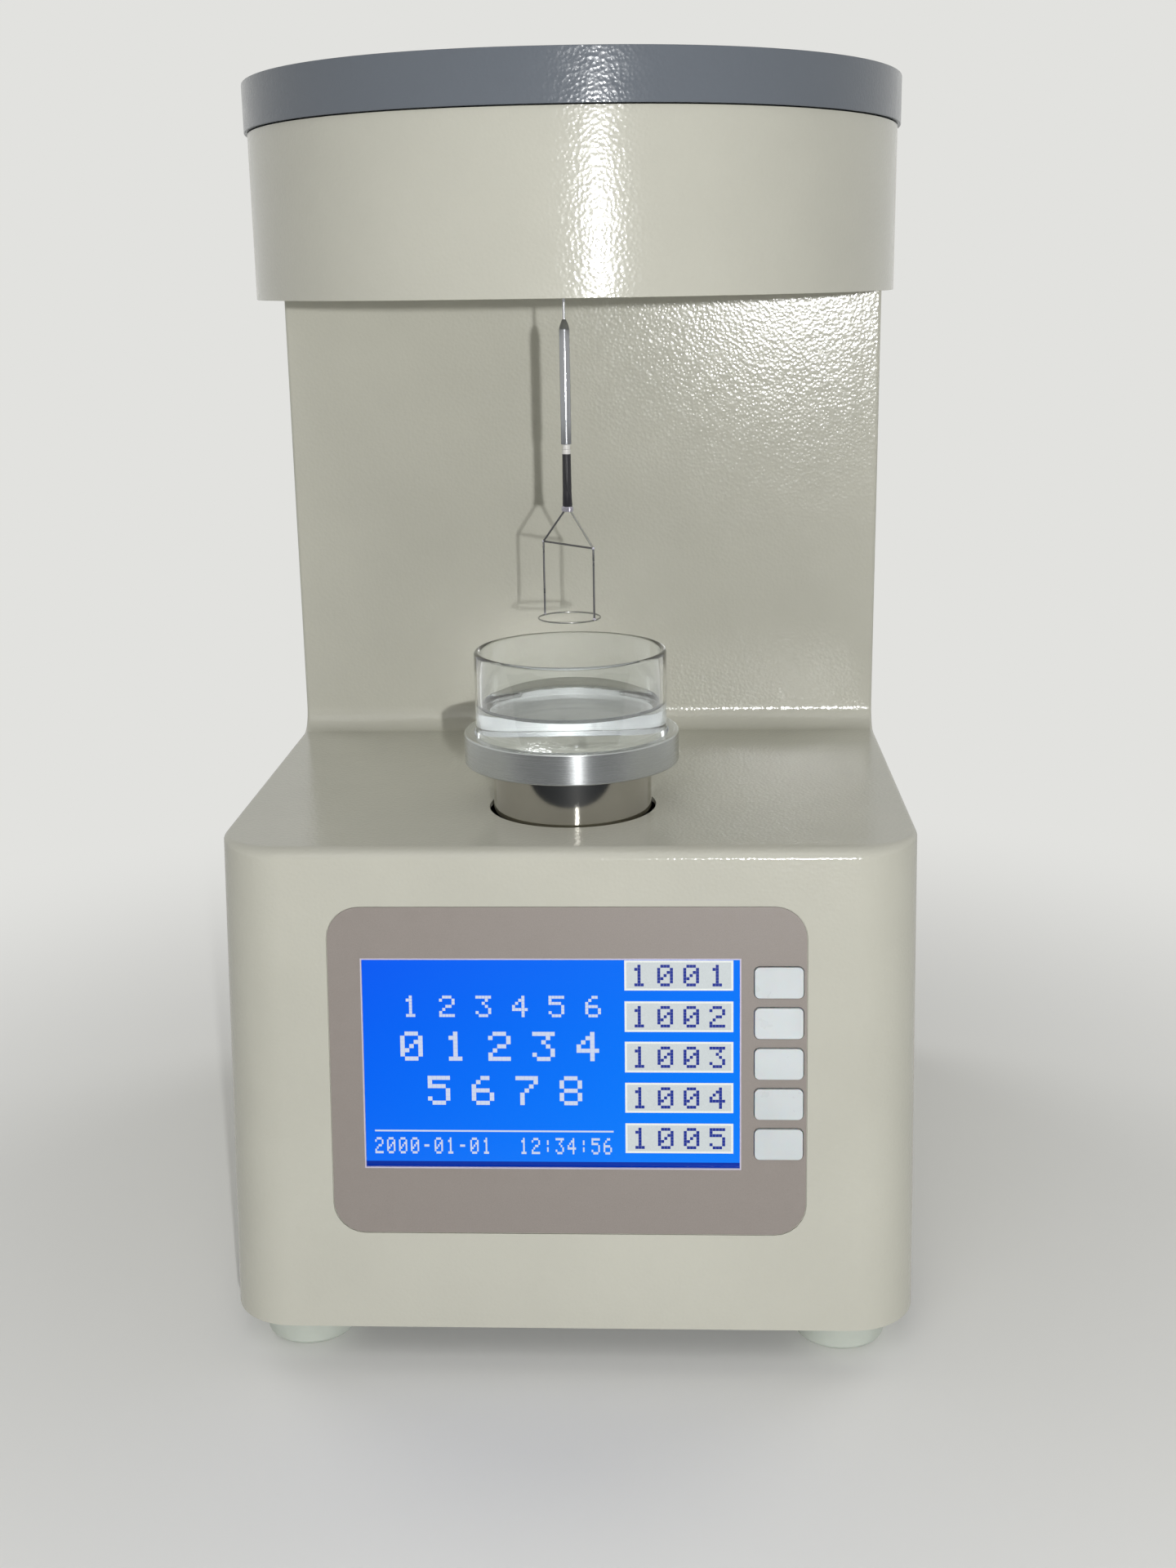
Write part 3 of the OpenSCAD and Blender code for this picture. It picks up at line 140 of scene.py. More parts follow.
class Finish:
    """A Principled material with its patterns on the piece's own coordinates."""

    def __init__(self, name, colour, roughness, metallic=0.0, **sockets):
        self.material = bpy.data.materials.new(name)
        self.material.use_nodes = True
        self.tree = self.material.node_tree
        self.shader = self.tree.nodes["Principled BSDF"]
        self.shader.inputs["Base Color"].default_value = (*colour, 1)
        self.shader.inputs["Roughness"].default_value = roughness
        self.shader.inputs["Metallic"].default_value = metallic
        for socket, value in sockets.items():
            self.shader.inputs[socket.replace("_", " ")].default_value = value
        self.place = self.tree.nodes.new("ShaderNodeTexCoord").outputs["Object"]
        self.normal = None

    def node(self, kind, **values):
        return add_node(self.tree, kind, **values)

    def link(self, out, to):
        self.tree.links.new(out, to)

    def stretched(self, x, y, z):
        """The piece's coordinates, scaled a different amount each way."""
        mapping = self.node("ShaderNodeMapping", Scale=(x, y, z))
        self.link(self.place, mapping.inputs["Vector"])
        return mapping.outputs["Vector"]

    def noise(self, scale, detail, rough=0.5, where=None):
        made = self.node("ShaderNodeTexNoise", Scale=scale, Detail=detail, Roughness=rough)
        self.link(where or self.place, made.inputs["Vector"])
        return made.outputs["Fac"]

    def cells(self, scale, smooth):
        made = self.node("ShaderNodeTexVoronoi", feature="SMOOTH_F1", Scale=scale, Smoothness=smooth)
        self.link(self.place, made.inputs["Vector"])
        return made.outputs["Distance"]

    def turned_lines(self, scale, centre):
        """Lines that run round a turned piece: they change along its height and its radius."""
        apart = self.node("ShaderNodeMapping", Location=(-centre[0] * MM, -centre[1] * MM, 0))
        self.link(self.place, apart.inputs["Vector"])
        split = self.node("ShaderNodeSeparateXYZ")
        self.link(apart.outputs["Vector"], split.inputs[0])
        flat = self.node("ShaderNodeCombineXYZ")
        self.link(split.outputs["X"], flat.inputs["X"])
        self.link(split.outputs["Y"], flat.inputs["Y"])
        radius = self.node("ShaderNodeVectorMath", operation="LENGTH")
        self.link(flat.outputs[0], radius.inputs[0])
        total = self.node("ShaderNodeMath", operation="ADD")
        self.link(radius.outputs["Value"], total.inputs[0])
        self.link(split.outputs["Z"], total.inputs[1])
        made = self.node("ShaderNodeTexNoise", noise_dimensions="1D", Scale=scale, Detail=3.0, Roughness=0.6)
        self.link(total.outputs[0], made.inputs["W"])
        return made.outputs["Fac"]

    def shade(self, factor, dark, light, low=0.3, high=0.7, socket="Base Color"):
        """Colours the piece between dark and light."""
        ramp = self.node("ShaderNodeValToRGB")
        ramp.color_ramp.elements[0].position = low
        ramp.color_ramp.elements[0].color = (*dark, 1)
        ramp.color_ramp.elements[1].position = high
        ramp.color_ramp.elements[1].color = (*light, 1)
        self.link(factor, ramp.inputs["Fac"])
        self.link(ramp.outputs["Color"], self.shader.inputs[socket])

    def gloss(self, factor, low, high):
        """Lets the roughness wander between low and high."""
        spread = self.node("ShaderNodeMapRange", From_Min=0.3, From_Max=0.7, To_Min=low, To_Max=high)
        self.link(factor, spread.inputs["Value"])
        self.link(spread.outputs["Result"], self.shader.inputs["Roughness"])

    def relief(self, height, distance, strength=1.0):
        """Raises the surface by a pattern, on top of what is there already."""
        bump = self.node("ShaderNodeBump", Strength=strength, Distance=distance)
        self.link(height, bump.inputs["Height"])
        if self.normal:
            self.link(self.normal, bump.inputs["Normal"])
        self.normal = bump.outputs["Normal"]
        self.link(self.normal, self.shader.inputs["Normal"])


def shaded(colour, factor):
    return tuple(c * factor for c in colour)


def textured_paint(name, colour, roughness):
    """Stoved paint with the soft dimples of orange peel and a faint cloudiness."""
    peel = 0.00006
    paint = Finish(name, colour, roughness, Specular_IOR_Level=0.36)
    paint.shade(paint.noise(22, 3), shaded(colour, 0.97), shaded(colour, 1.03))
    paint.gloss(paint.noise(160, 2), roughness - 0.02, roughness + 0.03)
    paint.relief(paint.cells(920, 0.5), peel * 0.85)
    paint.relief(paint.noise(2400, 1), peel * 0.16)
    return paint.material


def polished_steel(name, colour, roughness, centre):
    """Polished round and round, so its highlight spreads along the piece."""
    lines = 60000
    steel = Finish(name, colour, roughness, 1.0, Anisotropic=0.7, Anisotropic_Rotation=0.25)
    way_round = steel.node("ShaderNodeTangent", direction_type="RADIAL", axis="Z")
    steel.link(way_round.outputs["Tangent"], steel.shader.inputs["Tangent"])
    steel.gloss(steel.turned_lines(lines, centre), roughness * 0.7, roughness * 1.4)
    steel.shade(steel.noise(90, 3), shaded(colour, 0.95), shaded(colour, 1.03))
    steel.relief(steel.turned_lines(lines, centre), 0.0000006)
    return steel.material


def turned_metal(name, colour, roughness, centre):
    """Fresh from the lathe: fine cut lines run round it."""
    metal = Finish(name, colour, roughness, 1.0, Anisotropic=0.8, Anisotropic_Rotation=0.25)
    way_round = metal.node("ShaderNodeTangent", direction_type="RADIAL", axis="Z")
    metal.link(way_round.outputs["Tangent"], metal.shader.inputs["Tangent"])
    cut_lines = metal.turned_lines(9000, centre)
    metal.shade(cut_lines, shaded(colour, 0.84), shaded(colour, 1.06))
    metal.gloss(cut_lines, roughness - 0.03, roughness + 0.05)
    metal.relief(cut_lines, 0.000006)
    return metal.material


def rolled_metal(name, colour, roughness, way=(4, 400, 400), depth=0.000004):
    """Sheet, rod or wire with faint drawing lines along one way."""
    metal = Finish(name, colour, roughness, 1.0)
    drawn = metal.noise(6, 3, 0.6, metal.stretched(*way))
    metal.shade(drawn, shaded(colour, 0.88), shaded(colour, 1.07))
    metal.gloss(metal.noise(300, 2), roughness - 0.04, roughness + 0.06)
    metal.relief(drawn, depth)
    return metal.material


def cast_metal(name, colour, roughness, metallic, depth=0.00004):
    """A fine even skin, with slightly darker clouds."""
    metal = Finish(name, colour, roughness, metallic)
    skin = metal.noise(1100, 4, 0.6)
    metal.shade(metal.noise(60, 4), shaded(colour, 0.82), shaded(colour, 1.1))
    metal.gloss(skin, roughness - 0.08, roughness + 0.1)
    metal.relief(skin, depth)
    return metal.material


def moulded_plastic(name, colour, roughness, grain=1800, depth=0.000012, **sockets):
    """Plastic with the fine grain of its mould."""
    plastic = Finish(name, colour, roughness, **sockets)
    plastic.shade(plastic.noise(35, 3), shaded(colour, 0.95), shaded(colour, 1.04))
    plastic.gloss(plastic.noise(240, 2), roughness - 0.05, roughness + 0.06)
    plastic.relief(plastic.noise(grain, 2), depth)
    return plastic.material


def panel_foil():
    """Satin taupe foil with a very fine grain."""
    colour = srgb(142, 134, 128)
    foil = Finish("panel foil", colour, 0.42)
    foil.shade(foil.noise(5200, 2, 0.6), shaded(colour, 0.9), shaded(colour, 1.08), 0.25, 0.75)
    foil.gloss(foil.noise(300, 2), 0.36, 0.5)
    foil.relief(foil.noise(4200, 1), 0.000010)
    return foil.material


def circuit_card():
    """Green solder mask with paler tracks."""
    colour = srgb(34, 96, 62)
    card = Finish("circuit card", colour, 0.35)
    tracks = card.node("ShaderNodeTexBrick", Scale=120, Mortar_Size=0.03)
    tracks.offset = 0.35
    card.link(card.place, tracks.inputs["Vector"])
    card.shade(tracks.outputs["Fac"], colour, srgb(70, 140, 92), 0.0, 1.0)
    card.relief(tracks.outputs["Fac"], 0.00003)
    return card.material


def wound_wire():
    """Enamelled copper, turn beside turn."""
    colour = srgb(176, 96, 48)
    copper = Finish("enamelled winding", colour, 0.28, 0.85)
    turns = copper.node("ShaderNodeTexWave", bands_direction="Z", Scale=600, Distortion=0.4)
    copper.link(copper.place, turns.inputs["Vector"])
    # Each turn is painted lighter along its crest and darker where it meets the next: painted highlight and
    # painted shade.
    copper.shade(turns.outputs["Fac"], shaded(colour, 0.55), shaded(colour, 1.15), 0.1, 0.8)
    copper.relief(turns.outputs["Fac"], 0.00008)
    return copper.material


def laminated_iron():
    """Stacked sheets, seen edge on."""
    colour = srgb(92, 94, 98)
    iron = Finish("laminated iron", colour, 0.45, 0.8)
    sheets = iron.node("ShaderNodeTexWave", bands_direction="Y", Scale=500, Distortion=0.2)
    iron.link(iron.place, sheets.inputs["Vector"])
    iron.shade(sheets.outputs["Fac"], shaded(colour, 0.5), colour, 0.1, 0.6)
    iron.relief(sheets.outputs["Fac"], 0.00005)
    return iron.material


def ribbon():
    """Flat cable: grey strands side by side."""
    colour = srgb(140, 142, 146)
    cable = Finish("ribbon cable", colour, 0.5)
    strands = cable.node("ShaderNodeTexWave", bands_direction="X", Scale=400)
    cable.link(cable.place, strands.inputs["Vector"])
    # Each strand is painted lighter along its top and darker in the groove beside it: painted highlight and
    # painted shade.
    cable.shade(strands.outputs["Fac"], shaded(colour, 0.6), shaded(colour, 1.1), 0.1, 0.7)
    cable.relief(strands.outputs["Fac"], 0.0001)
    return cable.material


def clear_glass():
    """Thin clear glass: it bends what stands behind it little, and its coat gives it the gloss of real glass."""
    glass = Finish("clear glass", srgb(253, 255, 255), 0.0, Transmission_Weight=1.0, IOR=1.22,
                   Coat_Weight=1.0, Coat_Roughness=0.0, Coat_IOR=1.5)
    glass.relief(glass.noise(45, 1), 0.00001, 0.3)
    return glass.material


def sample_water():
    """Clear water whose surface is hardly uneven."""
    water = Finish("water", (1.0, 1.0, 1.0), 0.0, Transmission_Weight=1.0, IOR=1.33)
    water.relief(water.noise(18, 1), 0.00001, 0.2)
    return water.material


def foot_nylon():
    """Milky nylon that lets some light in."""
    # The nylon's own milky white, made a little darker and greener: partly painted reflection of a dark green mat
    # under the feet.
    colour = srgb(199, 205, 196)
    nylon = Finish("translucent nylon", colour, 0.38, Subsurface_Weight=0.5, Subsurface_Scale=0.006)
    nylon.shader.inputs["Subsurface Radius"].default_value = (1.0, 0.95, 0.85)
    nylon.shade(nylon.noise(120, 3), shaded(colour, 0.93), shaded(colour, 1.02))
    nylon.relief(nylon.turned_lines(3000, (0, 0)), 0.000006)
    return nylon.material


def lit_field(name, upper, lower, strength):
    """Back-lit field of the display with its dot grid; it fades from its upper to its lower colour."""
    dot_pitch = 0.00047
    field = Finish(name, srgb(0, 8, 40), 0.16, Emission_Strength=strength, Specular_IOR_Level=0.3)
    split = field.node("ShaderNodeSeparateXYZ")
    field.link(field.place, split.inputs[0])
    slope = field.node("ShaderNodeMath", operation="MULTIPLY_ADD")
    slope.inputs[1].default_value = -0.9
    field.link(split.outputs["X"], slope.inputs[0])
    field.link(split.outputs["Z"], slope.inputs[2])
    spread = field.node("ShaderNodeMapRange", From_Min=0.045, From_Max=0.19)
    field.link(slope.outputs[0], spread.inputs["Value"])
    grid = field.node("ShaderNodeTexChecker", Scale=2 / dot_pitch)
    field.link(field.place, grid.inputs["Vector"])
    tone = field.node("ShaderNodeMix", data_type="RGBA")
    tone.inputs["A"].default_value = (*lower, 1)
    tone.inputs["B"].default_value = (*upper, 1)
    field.link(spread.outputs["Result"], tone.inputs["Factor"])
    field.link(tone.outputs["Result"], field.shader.inputs["Emission Color"])
    field.relief(grid.outputs["Fac"], 0.0000015)
    return field.material


def lit_mark(name, colour, strength=1.0):
    """Dots of the display, in one colour with a faint grain."""
    mark = Finish(name, shaded(colour, 0.12), 0.35, Emission_Strength=strength, Specular_IOR_Level=0.3)
    mark.shade(mark.noise(2200, 1), shaded(colour, 0.88), shaded(colour, 1.06), 0.0, 1.0, "Emission Color")
    return mark.material


STAGE = (0.0, Y_STAGE)
CREAM = textured_paint("cream paint", srgb(193, 192, 180), 0.15)
SLATE = textured_paint("slate paint", srgb(101, 107, 115), 0.17)
ZINC = rolled_metal("zinc plate", srgb(186, 188, 186), 0.34)
SCREW = rolled_metal("plated screw", srgb(190, 190, 188), 0.28, (300, 300, 300))
NYLON = foot_nylon()
FOIL = panel_foil()
BLACK = moulded_plastic("black moulding", srgb(34, 35, 38), 0.42, depth=0.00003)
CARD = circuit_card()
KEY = moulded_plastic("white key", srgb(206, 212, 214), 0.32, Subsurface_Weight=0.15, Subsurface_Scale=0.002)
RIBBON = ribbon()
MIRROR = polished_steel("polished post", srgb(180, 177, 168), 0.08, STAGE)
ALUMINIUM = turned_metal("turned aluminium", srgb(200, 203, 203), 0.24, STAGE)
GROUND = cast_metal("ground seat", srgb(208, 210, 210), 0.45, 0.45, 0.00001)
CAST = cast_metal("cast aluminium", srgb(170, 173, 176), 0.5, 0.6)
GLASS = clear_glass()
WATER = sample_water()
ROD = rolled_metal("polished rod", srgb(168, 170, 174), 0.16, (400, 400, 4), 0.0000008)
BRONZE = turned_metal("bronze", srgb(190, 150, 84), 0.3, STAGE)
PLATINUM = rolled_metal("platinum wire", srgb(158, 158, 154), 0.2, (300, 300, 300), 0.000002)
FRAME_WIRE = rolled_metal("dark wire", srgb(120, 120, 122), 0.3, (300, 300, 300), 0.000004)
SOLDER = cast_metal("solder", srgb(205, 202, 214), 0.25, 0.9, 0.00002)
SLEEVE = moulded_plastic("dark sleeve", srgb(46, 45, 48), 0.16, 1200, 0.000004)
LIGHT_RING = moulded_plastic("pale ring", srgb(214, 212, 208), 0.35)
IRON = cast_metal("soft iron", srgb(104, 108, 114), 0.4, 0.9, 0.00002)
COPPER = wound_wire()
LAMINATED = laminated_iron()
FIELD = lit_field("display field", srgb(0, 88, 244), srgb(0, 126, 255), 0.95)
BAND = lit_field("display edge", srgb(0, 40, 150), srgb(0, 52, 176), 0.8)
PALE_MARK = lit_mark("pale marks", srgb(196, 205, 226))
BOX_MARK = lit_mark("key labels", srgb(200, 207, 208), 0.95)
BOX_EDGE = lit_mark("label edge", srgb(226, 230, 226))
NAVY_MARK = lit_mark("label strokes", srgb(10, 42, 150), 0.8)
RIM = moulded_plastic("window rim", srgb(196, 190, 206), 0.35)


# ---- making pieces ----

def finished(name, bm, body, finish, sharp=35):
    """Turns a mesh into a piece that rides on a body."""
    mesh = bpy.data.meshes.new(name)
    bm.to_mesh(mesh)
    bm.free()
    mesh.materials.append(finish)
    mesh.shade_smooth()
    mesh.set_sharp_from_angle(angle=math.radians(sharp))
    piece = bpy.data.objects.new(name, mesh)
    scene.collection.objects.link(piece)
    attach(piece, body)
    return piece


def rounded(piece, width, segments=3, angle=30):
    """Rounds the edges that are sharper than angle."""
    edge = piece.modifiers.new("rounded edges", "BEVEL")
    edge.width = width * MM
    edge.segments = segments
    edge.limit_method = "ANGLE"
    edge.angle_limit = math.radians(angle)
    edge.harden_normals = True
    return piece


def body_of(node):
    return nodes[node]["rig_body"]


def dressed(node, width, finish, segments=3):
    """A copy of a solid with its triangles joined up, its edges rounded and its finish on."""
    bm = bmesh.new()
    bm.from_mesh(nodes[node].data)
    bmesh.ops.remove_doubles(bm, verts=bm.verts, dist=0.000002)
    bmesh.ops.dissolve_limit(bm, angle_limit=math.radians(0.3), verts=bm.verts, edges=bm.edges)
    piece = finished(node + "_finished", bm, body_of(node), finish)
    if width:
        rounded(piece, width, segments)
    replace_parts(piece, node)
    return piece


def turned(name, outline, at, body, finish, width, steps, closed=False):
    """Spins an outline of radius and height round an upright axis."""
    bm = bmesh.new()
    ring = [bm.verts.new(((at[0] + r) * MM, at[1] * MM, z * MM)) for r, z in outline]
    edges = [bm.edges.new(pair) for pair in zip(ring, ring[1:])]
    if closed:
        edges.append(bm.edges.new((ring[-1], ring[0])))
    bmesh.ops.spin(bm, geom=ring + edges, cent=(at[0] * MM, at[1] * MM, 0), axis=(0, 0, 1),
                   angle=math.tau, steps=steps, use_merge=True)
    bmesh.ops.remove_doubles(bm, verts=bm.verts, dist=0.000001)
    bmesh.ops.recalc_face_normals(bm, faces=bm.faces)
    piece = finished(name, bm, body, finish)
    if width:
        rounded(piece, width)
    return piece


def curve_points(centre, radius, start, end, count):
    """Points of an arc in the outline of a turned piece."""
    turn = [math.radians(start + (end - start) * i / count) for i in range(count + 1)]
    return [(centre[0] + radius * math.cos(a), centre[1] + radius * math.sin(a)) for a in turn]


def wire(bm, path, width, sides=12):
    """Draws a round wire through points: a disc pushed on from point to point."""
    path = [Vector(p) * MM for p in path]
    ways = [(path[min(i + 1, len(path) - 1)] - path[max(i - 1, 0)]).normalized() for i in range(len(path))]
    turn = ways[0].to_track_quat("Z", "X").to_matrix().to_4x4()
    disc = bmesh.ops.create_circle(bm, cap_ends=True, radius=width / 2 * MM, segments=sides,
                                   matrix=Matrix.Translation(path[0]) @ turn)["verts"]
    face = disc[0].link_faces[0]
    for i in range(1, len(path)):
        pushed = bmesh.ops.extrude_face_region(bm, geom=[face])["geom"]
        if i > 1:
            bmesh.ops.delete(bm, geom=[face], context="FACES_ONLY")
        face = [g for g in pushed if isinstance(g, bmesh.types.BMFace)][0]
        bend = ways[i - 1].rotation_difference(ways[i]).to_matrix()
        for v in face.verts:
            v.co = path[i] + bend @ (v.co - path[i - 1])
    bmesh.ops.recalc_face_normals(bm, faces=bm.faces)


def bead(bm, at, radius):
    """A small ball of solder."""
    bmesh.ops.create_uvsphere(bm, u_segments=20, v_segments=12, radius=radius * MM,
                              matrix=Matrix.Translation(Vector(at) * MM))


def on_front(x, up, out=0.0):
    """Places a thing on the leaning front face: across, up the face, and out of it."""
    return (Matrix.Translation((0, Y_FRONT * MM, Z_BASE * MM)) @ Matrix.Rotation(math.pi / 2 - LEAN, 4, "X")
            @ Matrix.Translation((x * MM, up * MM, out * MM)))


def plate(bm, width, height, deep, corner, where, segments=6):
    """A plate with round corners, deep to each side of its middle plane."""
    made = bmesh.ops.create_cube(bm, size=1)["verts"]
    bmesh.ops.scale(bm, verts=made, vec=(width * MM, height * MM, deep * 2 * MM))
    upright = [e for e in {e for v in made for e in v.link_edges}
               if abs(e.verts[0].co.z - e.verts[1].co.z) > 0.00001]
    if corner:
        made = list({v for f in bmesh.ops.bevel(bm, geom=upright, offset=corner * MM, segments=segments,
                                                profile=0.5, affect="EDGES", material=-1)["faces"]
                     for v in f.verts})
    bmesh.ops.transform(bm, matrix=where, verts=made)


def settled(piece):
    """Applies a piece's modifiers."""
    graph = bpy.context.evaluated_depsgraph_get()
    mesh = bpy.data.meshes.new_from_object(piece.evaluated_get(graph))
    old = piece.data
    piece.modifiers.clear()
    piece.data = mesh
    bpy.data.meshes.remove(old)
    return piece


def cut_away(piece, bm):
    """Cuts the shapes in bm out of a piece."""
    mesh = bpy.data.meshes.new("cutter")
    bmesh.ops.recalc_face_normals(bm, faces=bm.faces)
    bm.to_mesh(mesh)
    bm.free()
    cutter = bpy.data.objects.new("cutter", mesh)
    scene.collection.objects.link(cutter)
    cut = piece.modifiers.new("cut", "BOOLEAN")
    cut.object = cutter
    cut.operation = "DIFFERENCE"
    cut.solver = "EXACT"
    settled(piece)
    bpy.data.objects.remove(cutter)
    bpy.data.meshes.remove(mesh)


# ---- case ----

def case_block():
    """The case's outline from the side, pushed across, with round front corners and the cove at the column."""
    top_y = Y_FRONT + (Z_TOP - Z_BASE) * math.tan(LEAN)
    side = [(Y_FRONT, Z_BASE), (top_y, Z_TOP), (Y_COLUMN, Z_TOP), (Y_COLUMN, Z_HEAD), (Y_REAR, Z_HEAD),
            (Y_REAR, Z_BASE)]
    bm = bmesh.new()
    face = bm.faces.new([bm.verts.new((-HALF_W * MM, y * MM, z * MM)) for y, z in side])
    pushed = bmesh.ops.extrude_face_region(bm, geom=[face])["geom"]
    bmesh.ops.translate(bm, vec=(2 * HALF_W * MM, 0, 0),
                        verts=[g for g in pushed if isinstance(g, bmesh.types.BMVert)])
    bmesh.ops.recalc_face_normals(bm, faces=bm.faces)

    def runs_between(edge, *corners):
        ends = {tuple(round(c, 5) for c in v.co[1:]) for v in edge.verts}
        return ends == {(round(y * MM, 5), round(z * MM, 5)) for y, z in corners}

    for corners, radius, segments in ((side[:2], CORNER, 16), (side[2:3], COVE, 10)):
        edges = [e for e in bm.edges if runs_between(e, *corners)]
        bmesh.ops.bevel(bm, geom=edges, offset=radius * MM, offset_type="OFFSET", segments=segments, profile=0.5,
                        affect="EDGES", material=-1)
    return bm


def mark_soft_edges(bm):
    """How round each fold is: most along the front of the base's top, least along the sides."""
    hair, least = 0.01, 0.3
    weight = bm.edges.layers.float.new("bevel_weight_edge")
    for e in bm.edges:
        a, b = (v.co for v in e.verts)
        middle = (a + b) / 2
        across = abs(a.x - b.x)
        low, high = min(a.z, b.z), max(a.z, b.z)
        on_top = low > (Z_TOP - hair) * MM and high < (Z_TOP + hair) * MM
        if on_top and middle.y < -60 * MM and len(e.link_faces) == 2:
            turn = min(1.0, abs((b - a).normalized().y))
            round_corner = across > 0 or abs(middle.x) < (HALF_W - 0.1) * MM
            e[weight] = 1.0 - (1 - least) * turn ** 1.3 if round_corner else least
        on_side = min(abs(a.x), abs(b.x)) > (HALF_W - 0.001) * MM and across < 1e-6
        bay = (Z_TOP - hair) * MM < middle.z < (Z_HEAD - 0.5) * MM and middle.y < (Y_COLUMN + 0.5) * MM
        if on_side and bay:
            e[weight] = max(e[weight], least)


def left_open(face):
    """Where the case has no sheet: behind, underneath and up into the head."""
    behind, under = abs(face.normal.y - 1) < 0.001, abs(face.normal.z + 1) < 0.001
    into_head = face.normal.z > 0.999 and face.calc_center_median().z > 0.3
    return behind or under or into_head


def case_shell():
    """Folded sheet case: base, leaning front and column in one shell, with soft double-curved front corners."""
    bm = case_block()
    mark_soft_edges(bm)
    mesh_piece = finished("housing_shell", bm, "frame", CREAM)
    soft = mesh_piece.modifiers.new("soft corners", "BEVEL")
    soft.width = 4 * MM
    soft.segments = 6
    soft.limit_method = "WEIGHT"
    settled(mesh_piece)
    bm = bmesh.new()
    bm.from_mesh(mesh_piece.data)
    bmesh.ops.delete(bm, geom=[f for f in bm.faces if left_open(f)], context="FACES")
    bm.to_mesh(mesh_piece.data)
    bm.free()
    wall = mesh_piece.modifiers.new("sheet", "SOLIDIFY")
    wall.thickness = SHEET * MM
    wall.offset = -1
    wall.use_even_offset = True
    settled(mesh_piece)
    recess = bmesh.new()
    plate(recess, FILM[0] + 2 * GAP, FILM[1] + 2 * GAP, 0.6, FILM[2] + GAP, on_front(0, FILM_UP, 0))
    cut_away(mesh_piece, recess)
    openings = bmesh.new()
    plate(openings, WINDOW[0] + 0.6, WINDOW[1] + 0.6, 6, 0, on_front(*WINDOW_AT))
    for i in range(5):
        plate(openings, KEY_SIZE[0] + 2 * GAP, KEY_SIZE[1] + 2 * GAP, 3, KEY_SIZE[2] + GAP,
              on_front(KEY_AT[0], KEY_AT[1] + (2 - i) * KEY_PITCH))
    cut_away(mesh_piece, openings)
    drill = bmesh.new()
    bmesh.ops.create_cone(drill, cap_ends=True, segments=128, radius1=POST_HOLE * MM, radius2=POST_HOLE * MM,
                          depth=20 * MM, matrix=Matrix.Translation((0, Y_STAGE * MM, Z_TOP * MM)))
    cut_away(mesh_piece, drill)
    mesh_piece.data.shade_smooth()
    mesh_piece.data.set_sharp_from_angle(angle=math.radians(32))
    flat = mesh_piece.modifiers.new("flat faces", "WEIGHTED_NORMAL")
    flat.keep_sharp = True
    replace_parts(mesh_piece, "main_housing")


case_shell()


def head_shell():
    """Head with a folded lower edge, and a dark seam left under the cap."""
    seam, fold_radius, other_edges = 0.35, 2.0, 0.3
    head = dressed("head_housing", 0, CREAM)
    for corner in head.data.vertices:
        if corner.co.z > (Z_CAP - 0.1) * MM:
            corner.co.z -= seam * MM
    bm = bmesh.new()
    bm.from_mesh(head.data)
    weight = bm.edges.layers.float.new("bevel_weight_edge")
    for e in bm.edges:
        if len(e.link_faces) == 2 and e.calc_face_angle(0) > math.radians(30):
            low = max(v.co.z for v in e.verts) < (Z_HEAD + 0.1) * MM
            wide = max(abs(v.co.x) for v in e.verts) > 20 * MM or min(v.co.y for v in e.verts) < -90 * MM
            back = min(v.co.y for v in e.verts) > (Y_REAR - 1) * MM
            e[weight] = 1.0 if low and wide and not back else other_edges
    bm.to_mesh(head.data)
    bm.free()
    fold = head.modifiers.new("folded edges", "BEVEL")
    fold.width = fold_radius * MM
    fold.segments = 5
    fold.limit_method = "WEIGHT"
    fold.harden_normals = True


head_shell()
dressed("top_cap", 0.6, SLATE)
dressed("rear_panel", 0.25, CREAM, 2)
dressed("bottom_plate", 0.3, ZINC, 2)


# ---- feet ----

def feet():
    """Turned nylon feet with a well for the screw's head."""
    bore, well, well_top, outside, inset = 2.05, 4.5, 5, 14, 22
    outline = [(bore, Z_BASE), (bore, well_top), (well, well_top), (well, 0), (outside - 1.4, 0), (outside, 1.2),
               (outside, Z_BASE - 2), (outside - 1.5, Z_BASE)]
    for end, y in (("front", Y_FRONT + inset), ("rear", Y_REAR - inset)):
        for side, x in (("left", inset - HALF_W), ("right", HALF_W - inset)):
            node = "foot_%s_%s" % (end, side)
            foot = turned(node + "_turned", outline, (x, y), "frame", NYLON, 0.6, 96, True)
            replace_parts(foot, node)


feet()


# ---- front panel ----

dressed("panel_film", 0.12, FOIL, 2)
for number in range(1, 6):
    dressed("key_%d" % number, 0.45, KEY, 4)
dressed("lcd_glass", 0.2, FIELD, 2)

GLASS_OUT = -SHEET                  # the display's glass lies flush with the back of the sheet
LAYER = 0.02                        # how thick what is drawn on it stands
# Dot patterns of the digits, row by row from the top
DIGITS = {
    "0": "01110 10001 10011 10101 11001 10001 01110", "1": "00100 01100 00100 00100 00100 00100 01110",
    "2": "01110 10001 00001 00110 01000 10000 11111", "3": "11111 00010 00100 00010 00001 10001 01110",
    "4": "00010 00110 01010 10010 11111 00010 00010", "5": "11111 10000 11110 00001 00001 10001 01110",
    "6": "00110 01000 10000 11110 10001 10001 01110", "7": "11111 00001 00010 00100 01000 01000 01000",
    "8": "01110 10001 10001 01110 10001 10001 01110",
    "-": "00000 00000 00000 01110 00000 00000 00000", ":": "00000 00100 00100 00000 00100 00100 00000"}


def dot(bm, x, up, width, height, layers):
    """A thin lit tile on the display's glass, its face so many layers above the glass."""
    bmesh.ops.create_cube(bm, size=1, matrix=on_front(x, up, GLASS_OUT + (layers - 0.5) * LAYER)
                          @ Matrix.Diagonal((width * MM, height * MM, LAYER * MM, 1)))


